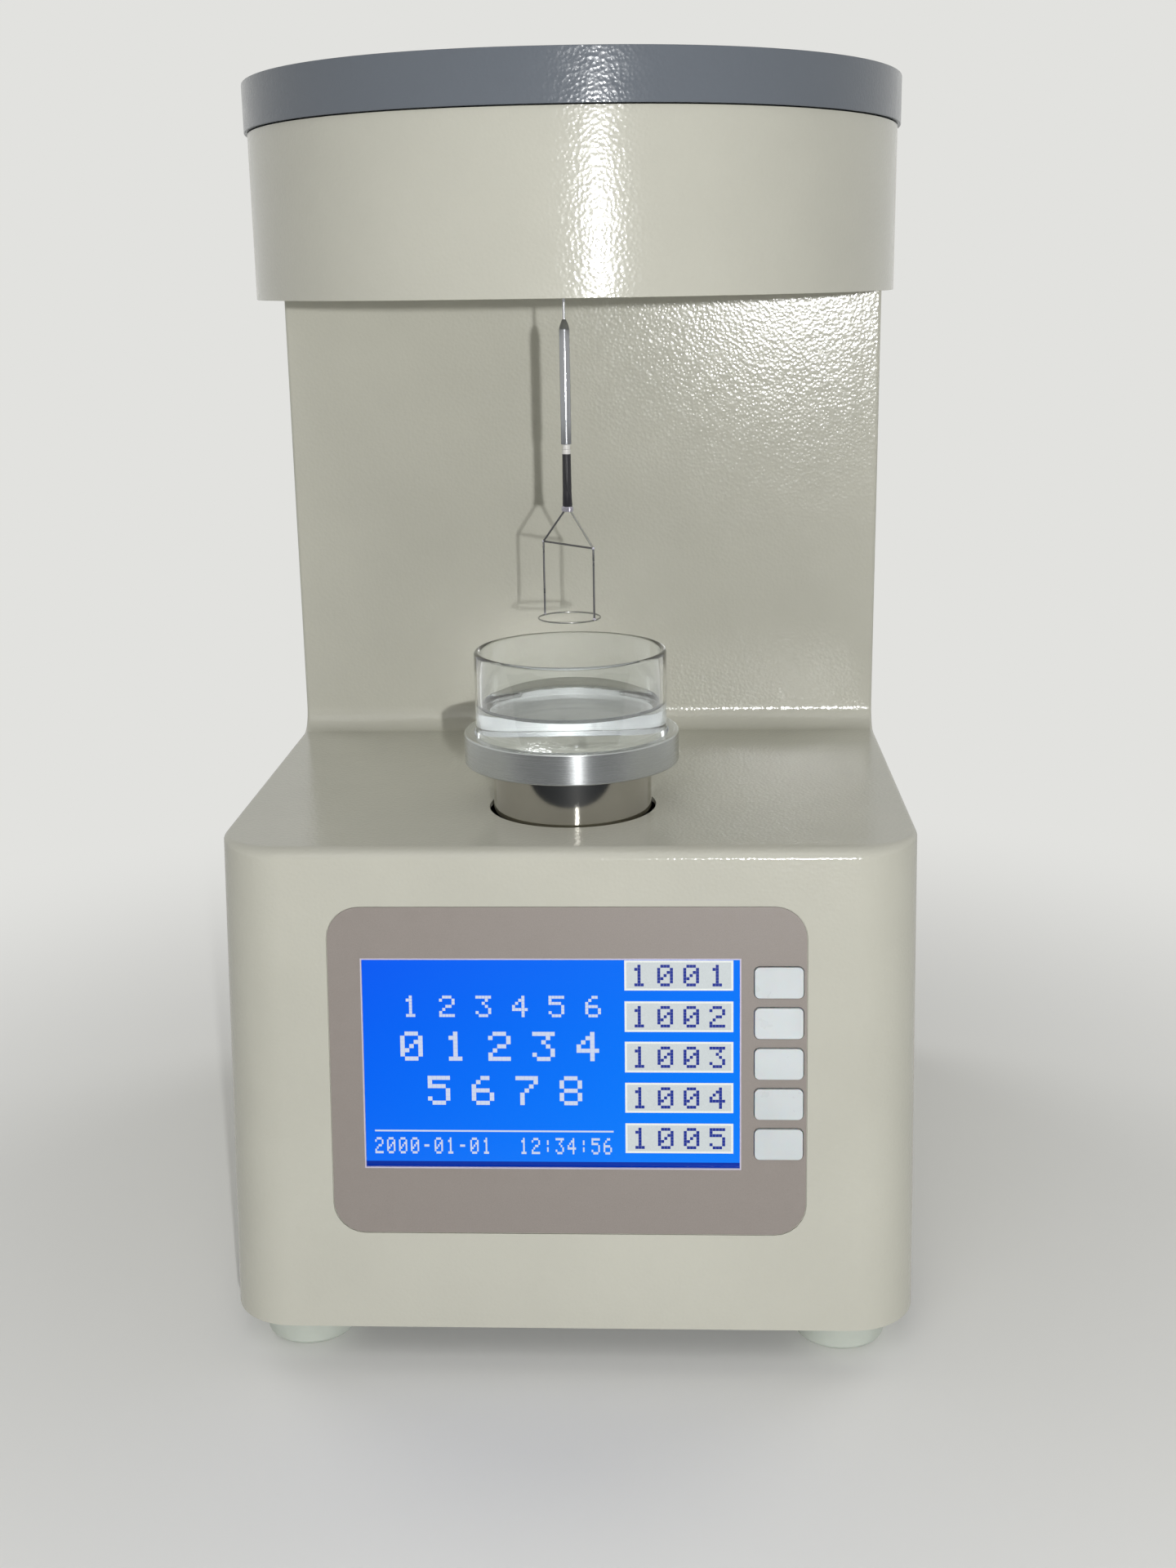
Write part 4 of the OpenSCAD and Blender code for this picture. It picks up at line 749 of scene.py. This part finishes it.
def number_row(bm, digits, left, foot, cell, tall, step, gap, layers=1):
    """Writes digits in dots: cell and tall are a dot's width and height, step goes from digit to digit."""
    for place, digit in enumerate(digits):
        for row, dots in enumerate(DIGITS[digit].split()):
            for column, lit in enumerate(dots):
                if lit == "1":
                    dot(bm, left + place * step + (column + 0.5) * cell, foot + (6.5 - row) * tall,
                        cell - gap, tall - gap, layers)


def display_picture():
    """What the display shows: plain digits, five labels beside the keys, a line and a dark lower edge."""
    pale = bmesh.new()
    for digits, left, foot, cell, tall, step, gap in (
            ("123456", -49.0, 96.4, 0.94, 0.94, 10.9, 0.06), ("01234", -50.0, 83.0, 1.35, 1.28, 13.2, 0.03),
            ("5678", -42.0, 69.4, 1.35, 1.28, 13.2, 0.03), ("2000-01-01", -58.3, 54.2, 0.5, 0.72, 3.6, 0.02),
            ("12:34:56", -14.6, 54.2, 0.5, 0.72, 3.6, 0.02)):
        number_row(pale, digits, left, foot, cell, tall, step, gap)
    dot(pale, -22.3, 61.3, 71.9, 0.5, 1)
    finished("display_digits", pale, "frame", PALE_MARK)
    across, wide, border = 33.3, 32.2, 0.6
    boxes, edges, strokes = bmesh.new(), bmesh.new(), bmesh.new()
    for i, (high, low) in enumerate(((113.7, 104.6), (101.3, 92.0), (89.0, 79.6), (76.4, 67.2), (63.9, 54.7))):
        middle, tall = (high + low) / 2, high - low
        dot(edges, across, middle, wide, tall, 1)
        dot(boxes, across, middle, wide - 2 * border, tall - 2 * border, 2)
        number_row(strokes, str(1001 + i), 19.2, middle - 3.3, 0.94, 0.94, 7.7, 0.03, 3)
    finished("label_edges", edges, "frame", BOX_EDGE)
    finished("label_boxes", boxes, "frame", BOX_MARK)
    finished("label_digits", strokes, "frame", NAVY_MARK)
    band, deep = bmesh.new(), 1.8
    dot(band, WINDOW_AT[0], WINDOW_AT[1] - (WINDOW[1] - deep) / 2, WINDOW[0], deep, 1.5)
    finished("display_lower_edge", band, "frame", BAND)


def window_rim():
    """The film's pale cut edge round the display."""
    rim, broad, (wide, tall) = bmesh.new(), 0.4, WINDOW
    for side in (-1, 1):
        for x, up, width, height in ((side * (wide - broad) / 2, 0, broad, tall),
                                     (0, side * (tall - broad) / 2, wide - 2 * broad, broad)):
            plate(rim, width, height, 0.35, 0, on_front(WINDOW_AT[0] + x, WINDOW_AT[1] + up, -0.5))
    finished("window_rim", rim, "frame", RIM)


display_picture()
window_rim()


# ---- stage and cup ----

def stage_parts():
    """Polished tube with the turned collar on it; the cup's seat in the collar is ground."""
    bore, outside, foot, top = 23, 25, 116.5, 173
    post = turned("post_polished", [(bore, foot), (outside, foot), (outside, top), (bore, top)], STAGE, "stage",
                  MIRROR, 0.3, 160, True)
    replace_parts(post, "stage_post")
    spigot, spigot_foot, rim, rim_top, seat, seat_floor = 22.9, 169, 33.7, 182.6, 30.3, 176.6
    outline = [(0, spigot_foot), (spigot, spigot_foot), (spigot, top), (rim, top), (rim, rim_top), (seat, rim_top),
               (seat, seat_floor), (0, seat_floor)]
    collar = turned("collar_turned", outline, STAGE, "stage", ALUMINIUM, 0.45, 160)
    collar.data.materials.append(GROUND)
    for face in collar.data.polygons:
        out = math.hypot(face.center.x, face.center.y - Y_STAGE * MM)
        if out < (seat + 0.1) * MM and face.center.z > (seat_floor - 0.1) * MM:
            face.material_index = 1
    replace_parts(collar, "stage_collar")


def cup_and_water():
    """Glass cup with a thick round rim, and the water that stands in it, a little higher along the glass."""
    outside, inside, foot, bed, top, level = 30, 28, 176.66, 179.1, 208.2, 190.4
    bend, rim = 1.5, 1.0
    outline = ([(0, foot)] + curve_points((outside - bend, foot + bend), bend, -90, 0, 8)
               + [(outside, 190), (outside, 200)]
               + curve_points((outside - rim, top - rim), rim, 0, 180, 12)
               + [(inside, 200), (inside, 190)]
               + curve_points((inside - bend, bed + bend), bend, 0, -90, 8) + [(0, bed)])
    cup = turned("cup_glass", outline, STAGE, "cup", GLASS, 0, 160)
    cup.visible_shadow = False
    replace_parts(cup, "sample_cup")
    into_wall, into_bed = inside + 0.03, bed - 0.05
    wet = ([(0, into_bed)] + curve_points((into_wall - bend, into_bed + bend), bend, -90, 0, 8)
           + [(into_wall, level + 1.6), (27.7, level + 1.3), (27.2, level + 0.7), (26.4, level + 0.25),
              (25.2, level + 0.04), (23.5, level), (0, level)])
    water = turned("water", wet, STAGE, "cup", WATER, 0, 160)
    water.visible_shadow = False


stage_parts()
cup_and_water()


# ---- ring, frame and hanger ----

def at_ring(x, z):
    """A point in the ring frame's plane, which is turned about the stage's axis."""
    return x * math.cos(RING_TURN), Y_STAGE + x * math.sin(RING_TURN), z


def ring_and_frame():
    """Ring on two stirrup wires that meet at the peak, with a slanting cross wire and a bead at each joint."""
    ring_wire, wide = 0.25, 0.6
    turned("ring_platinum", curve_points((RING_R, RING_Z), ring_wire, 0, 330, 11),
           STAGE, "hanger", PLATINUM, 0, 120, True)
    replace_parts(bpy.data.objects["ring_platinum"], "measuring_ring")
    left, right, peak = 240.95, 240.05, 250.5
    on_ring = RING_Z + ring_wire
    dark, pale, beads = bmesh.new(), bmesh.new(), bmesh.new()
    wire(dark, [at_ring(-RING_R, on_ring), at_ring(-RING_R, left)], wide)
    wire(dark, [at_ring(RING_R, on_ring), at_ring(RING_R, right)], wide)
    wire(dark, [at_ring(-RING_R, left), at_ring(RING_R, right)], wide)
    wire(dark, [at_ring(-RING_R, left), at_ring(-1.45, peak), at_ring(-1.3, peak + 1.2)], wide)
    wire(pale, [at_ring(RING_R, right), at_ring(1.45, peak), at_ring(1.3, peak + 1.2)], wide)
    for x, z, radius in ((-RING_R, left, 0.4), (RING_R, right, 0.5), (-RING_R, RING_Z + 0.3, 0.36),
                         (RING_R, RING_Z + 0.3, 0.55)):
        bead(beads, at_ring(x, z), radius)
    frame_piece = finished("frame_wires", dark, "hanger", FRAME_WIRE)
    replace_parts(frame_piece, "ring_frame")
    finished("frame_bright_wire", pale, "hanger", PLATINUM)
    finished("frame_joints", beads, "hanger", SOLDER)


def hanger_parts():
    """Rod, its narrow neck and the shrunk sleeve; a wire's end shows as a ridge down the sleeve's front."""
    sleeve = turned("sleeve_dark", [(0, SLEEVE_FOOT), (1.42, SLEEVE_FOOT), (1.5, 252.7), (1.36, 256.5),
                                    (1.3, SLEEVE_TOP), (0, SLEEVE_TOP)],
                    STAGE, "hanger", SLEEVE, 0.12, 64)
    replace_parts(sleeve, "hanger_sleeve")
    ridge, depth = bmesh.new(), 1.16
    under = [(-0.25, 267.9), (-0.25, 264), (-0.2, 261), (-0.1, 259), (0.15, 257.4), (0.5, 256.2), (0.9, 255.1),
             (1.1, 254.2), (1.2, 253.2), (1.2, 252.5)]
    wire(ridge, [(x, Y_STAGE - math.sqrt(depth ** 2 - min(abs(x), 1.1) ** 2), z) for x, z in under], 0.66, 20)
    finished("sleeve_ridge", ridge, "hanger", SLEEVE, 60)
    tip = bmesh.new()
    where = Matrix.Translation((0, Y_STAGE * MM, 251.45 * MM)) @ Matrix.Rotation(RING_TURN, 4, "Z")
    plate(tip, 3.7, 2.2, 0.85, 0.9, where, 5)
    rounded(finished("solder_tip", tip, "hanger", SOLDER), 0.3, 4)
    turned("pale_ring", [(0, SLEEVE_TOP), (1.28, SLEEVE_TOP), (1.28, 269.3), (1.16, 269.5), (1.16, ROD_FOOT),
                         (0, ROD_FOOT)],
           STAGE, "hanger", LIGHT_RING, 0.12, 48)
    thick, shoulder = 1.6, 304.5
    rod = turned("rod_polished", [(0, ROD_FOOT), (thick, ROD_FOOT), (thick, shoulder), (1.35, shoulder + 1.1),
                                  (0.6, shoulder + 3), (0, shoulder + 3)],
                 STAGE, "hanger", ROD, 0.12, 64)
    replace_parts(rod, "hanger_rod")


ring_and_frame()
hanger_parts()
dressed("hanger_hook", 0.1, ROD, 2)


# ---- rear fittings and fasteners ----

dressed("mains_inlet", 0.5, BLACK)
dressed("fuse_drawer", 0.3, BLACK)
dressed("mains_rocker", 0.4, BLACK)
dressed("data_socket", 0.25, ZINC, 2)
dressed("foot_screws", 0.3, SCREW, 2)


def pan_screw(grip):
    """One pan-head screw with a cross recess; its head's seat is at z = 0 and its shank points down."""
    shank, head, brim, tall = 1.5, 2.8, 0.75, 2.0
    dome = [(head - 0.28 * k, brim + (tall - brim) * math.sqrt(1 - (1 - k / 6) ** 2)) for k in range(1, 7)]
    outline = [(0, -grip), (shank - 0.2, -grip), (shank, 0.3 - grip), (shank, 0), (head, 0), (head, brim)]
    screw = turned("screw_pattern", outline + dome + [(0, tall)], (0, 0), "frame", SCREW, 0, 28)
    long, broad, deep = 3.1, 0.62, 1.1
    for turn in (0, math.pi / 2):
        slot = bmesh.new()
        bmesh.ops.create_cube(slot, size=1, matrix=Matrix.Translation((0, 0, tall * MM))
                              @ Matrix.Rotation(turn, 4, "Z")
                              @ Matrix.Diagonal((long * MM, broad * MM, 2 * deep * MM, 1)))
        cut_away(screw, slot)
    mesh = screw.data.copy()
    bpy.data.objects.remove(screw)
    return mesh


def case_screws():
    """Screws of the case, the head, the balance and the main board, each turned a little further than the last."""
    places = []
    for side in (-1, 1):
        rear_panel = [((side * 98.5, Y_REAR, z), "back", 5) for z in (32, 120, 208, 296)]
        bottom_plate = [((side * 98.5, y, Z_BASE), "under", 5) for y in (-76.5, 95.5)]
        head = [((side * 93.5, y, Z_HEAD + SHEET), "up", 5) for y in (51.5, 119.5)]
        balance = [((side * 29, y, 321.5), "up", 7.5) for y in (-69.5, 34.5)]
        main_board = [((side * 65, Y_REAR, z), "back", 13.1) for z in (155, 250)]
        places += rear_panel + bottom_plate + head + balance + main_board
    facing = {"up": Matrix(), "back": Matrix.Rotation(-math.pi / 2, 4, "X"),
              "under": Matrix.Rotation(math.pi, 4, "X")}
    patterns = {grip: pan_screw(grip) for grip in (5, 7.5, 13.1)}
    bm = bmesh.new()
    for count, (at, way, grip) in enumerate(places):
        copy = patterns[grip].copy()
        copy.transform(Matrix.Translation(Vector(at) * MM) @ facing[way] @ Matrix.Rotation(0.7 * count, 4, "Z"))
        bm.from_mesh(copy)
        bpy.data.meshes.remove(copy)
    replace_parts(finished("case_screws_finished", bm, "frame", SCREW, 30), "case_screws")


case_screws()


def on_rear(at, across, up, out):
    """Places a thing by a fitting on the rear panel: across to the right as seen from behind, up, and out."""
    return (Matrix.Translation((at[0] * MM, Y_REAR * MM, at[1] * MM)) @ Matrix.Rotation(math.pi, 4, "Z")
            @ Matrix.Rotation(math.pi / 2, 4, "X") @ Matrix.Translation((across * MM, up * MM, out * MM)))


def inlet_pins():
    """The three flat pins down in the mains inlet."""
    pins = bmesh.new()
    for across, up in ((-7, 5), (7, 5), (0, 9)):
        plate(pins, 2.12, 4.12, 7.6, 0.5, on_rear(INLET_AT, across, up, -9.4), 3)
    rounded(finished("inlet_pins", pins, "frame", SCREW), 0.35, 3, 50)


def rocker_marks():
    """A plain stroke and a ring on the two halves of the mains switch."""
    tilt, slope, from_middle, out = math.radians(7), math.atan(0.7 / 8.8), 4.6, 1.17
    face = on_rear(ROCKER_AT, 0, 0, -3) @ Matrix.Rotation(tilt, 4, "X") @ Matrix.Translation((0, 0, 3 * MM))

    def on_half(side):
        return (face @ Matrix.Translation((0, side * from_middle * MM, out * MM))
                @ Matrix.Rotation(side * slope, 4, "X"))

    marks = bmesh.new()
    plate(marks, 0.7, 3.4, 0.05, 0, on_half(1))
    ring, inner, outer, half = bmesh.new(), 1.15, 1.75, 0.05
    corners = [ring.verts.new((r * MM, 0, z * MM)) for r, z in ((inner, -half), (outer, -half), (outer, half),
                                                                (inner, half))]
    edges = [ring.edges.new(pair) for pair in zip(corners, corners[1:] + corners[:1])]
    bmesh.ops.spin(ring, geom=corners + edges, cent=(0, 0, 0), axis=(0, 0, 1), angle=math.tau, steps=36,
                   use_merge=True)
    bmesh.ops.recalc_face_normals(ring, faces=ring.faces)
    bmesh.ops.transform(ring, verts=ring.verts, matrix=on_half(-1))
    finished("rocker_stroke", marks, body_of("mains_rocker"), KEY)
    finished("rocker_ring", ring, body_of("mains_rocker"), KEY)


def socket_contacts():
    """Black insert of the data socket with its nine contacts."""
    pitch = 2.76
    insert = bmesh.new()
    plate(insert, 15.3, 7.3, 2.2, 1.2, on_rear(SOCKET_AT, 0, 0, -0.8), 4)
    rounded(finished("socket_insert", insert, "frame", BLACK), 0.2, 2, 50)
    contacts = bmesh.new()
    for row, count in ((1.4, 5), (-1.4, 4)):
        for place in range(count):
            across = (place - (count - 1) / 2) * pitch
            bmesh.ops.create_cone(contacts, cap_ends=True, segments=20, radius1=0.62 * MM, radius2=0.5 * MM,
                                  depth=0.5 * MM, matrix=on_rear(SOCKET_AT, across, row, 1.5))
    finished("socket_contacts", contacts, "frame", BRONZE)


inlet_pins()
rocker_marks()
socket_contacts()


# ---- pieces inside: the solids stay, with their finishes ----

INSIDE = {
    "lcd_frame": BLACK, "display_board": CARD, "key_board": CARD,
    "key_switches": BLACK, "board_spacers": BRONZE, "display_cable": RIBBON, "stage_carriage": CAST,
    "lead_nut": BRONZE, "guide_bushes": BRONZE, "guide_rods": ROD, "lead_screw": ROD, "shaft_coupling": ALUMINIUM,
    "motor_shaft": ROD, "lift_motor": IRON, "motor_plate": CAST, "motor_pillars": ZINC, "guide_plate": CAST,
    "switch_rail": CAST, "limit_switches": BLACK, "balance_beam": CAST, "coil": COPPER, "counterweight": BRONZE,
    "balance_base": CAST, "magnet": IRON, "pivot_wire": ROD, "beam_stop": CAST, "position_sensor": BLACK,
    "main_board": CARD, "board_pillars": BRONZE, "transformer": LAMINATED}
for node, finish in INSIDE.items():
    for material_slot in nodes[node].material_slots:
        material_slot.material = finish


# ---- floor and light ----

def seen_by(tree, *rays):
    """1 where a ray is of one of these kinds, and 0 elsewhere."""
    path = add_node(tree, "ShaderNodeLightPath")
    share = path.outputs[rays[0]]
    for ray in rays[1:]:
        either = add_node(tree, "ShaderNodeMath", operation="MAXIMUM")
        tree.links.new(share, either.inputs[0])
        tree.links.new(path.outputs[ray], either.inputs[1])
        share = either.outputs[0]
    return share


def world_light():
    """Even light from all round; what is seen past the object is a pale backdrop."""
    world = bpy.data.worlds.new("studio")
    scene.world = world
    world.use_nodes = True
    tree = world.node_tree
    tree.nodes.clear()
    light = add_node(tree, "ShaderNodeBackground", Color=(1.0, 0.995, 0.985, 1), Strength=0.21)
    seen = add_node(tree, "ShaderNodeBackground", Color=(*srgb(*BACKDROP), 1), Strength=1.0)
    mix = add_node(tree, "ShaderNodeMixShader")
    tree.links.new(seen_by(tree, "Is Camera Ray", "Is Glossy Ray", "Is Transmission Ray"), mix.inputs["Fac"])
    tree.links.new(light.outputs[0], mix.inputs[1])
    tree.links.new(seen.outputs[0], mix.inputs[2])
    tree.links.new(mix.outputs[0], add_node(tree, "ShaderNodeOutputWorld").inputs["Surface"])


def lamp(name, at, towards, size, energy):
    """A round lamp; its size is across, and its energy in watts."""
    light = bpy.data.lights.new(name, "AREA")
    light.shape = "DISK"
    light.size = size
    light.energy = energy
    lit = bpy.data.objects.new(name, light)
    lit.matrix_world = (Matrix.Translation(at)
                        @ (Vector(at) - Vector(towards)).to_track_quat("Z", "Y").to_matrix().to_4x4())
    scene.collection.objects.link(lit)
    return lit


def pale_floor():
    """Matt and pale; further off it passes into the backdrop, so no horizon shows."""
    matt = Finish("pale floor", srgb(238, 238, 235), 0.9)
    far_off = matt.node("ShaderNodeVectorMath", operation="LENGTH")
    matt.link(matt.place, far_off.inputs[0])
    spread = matt.node("ShaderNodeMapRange", From_Min=0.12, From_Max=0.5, interpolation_type="SMOOTHSTEP")
    matt.link(far_off.outputs["Value"], spread.inputs["Value"])
    backdrop = matt.node("ShaderNodeEmission", Color=(*srgb(*BACKDROP), 1), Strength=1.0)
    share = matt.node("ShaderNodeMath", operation="MULTIPLY")
    matt.link(seen_by(matt.tree, "Is Camera Ray", "Is Transmission Ray"), share.inputs[0])
    matt.link(spread.outputs["Result"], share.inputs[1])
    mix = matt.node("ShaderNodeMixShader")
    matt.link(share.outputs[0], mix.inputs["Fac"])
    matt.link(matt.shader.outputs["BSDF"], mix.inputs[1])
    matt.link(backdrop.outputs["Emission"], mix.inputs[2])
    matt.link(mix.outputs["Shader"], matt.tree.nodes["Material Output"].inputs["Surface"])
    return matt.material


def laid_out(name, bm, material):
    """A thing of the studio, which isn't part of the object."""
    mesh = bpy.data.meshes.new(name)
    bm.to_mesh(mesh)
    bm.free()
    mesh.materials.append(material)
    thing = bpy.data.objects.new(name, mesh)
    scene.collection.objects.link(thing)
    return thing


def floor():
    """The pale floor, and a dark card before the object that only its reflections show."""
    bm = bmesh.new()
    bmesh.ops.create_circle(bm, cap_ends=True, radius=4.0, segments=96)
    ground = laid_out("floor", bm, pale_floor())
    bm = bmesh.new()
    bmesh.ops.create_grid(bm, x_segments=1, y_segments=1, size=0.5,
                          matrix=Matrix.Translation((0, -1.0, 0.001)) @ Matrix.Diagonal((3.0, 1.2, 1, 1)))
    card = laid_out("dark_card", bm, Finish("dark card", srgb(26, 32, 42), 0.9).material)
    card.visible_camera = False
    card.visible_diffuse = False
    card.visible_shadow = False
    card.visible_transmission = False


world_light()
floor()
lamp("main_lamp", at=(0.145, -1.0, 0.345), towards=(0, 0, 0.2), size=0.015, energy=4.9)
lamp("soft_box", at=(-0.1, -0.85, 1.25), towards=(0, -0.05, 0.15), size=1.0, energy=2.8)
for side in (-1, 1):
    rear_box = lamp("rear_box", at=(side * 1.1, 1.0, 0.8), towards=(0, 0, 0.2), size=1.0, energy=6.5)
    rear_box.visible_glossy = False
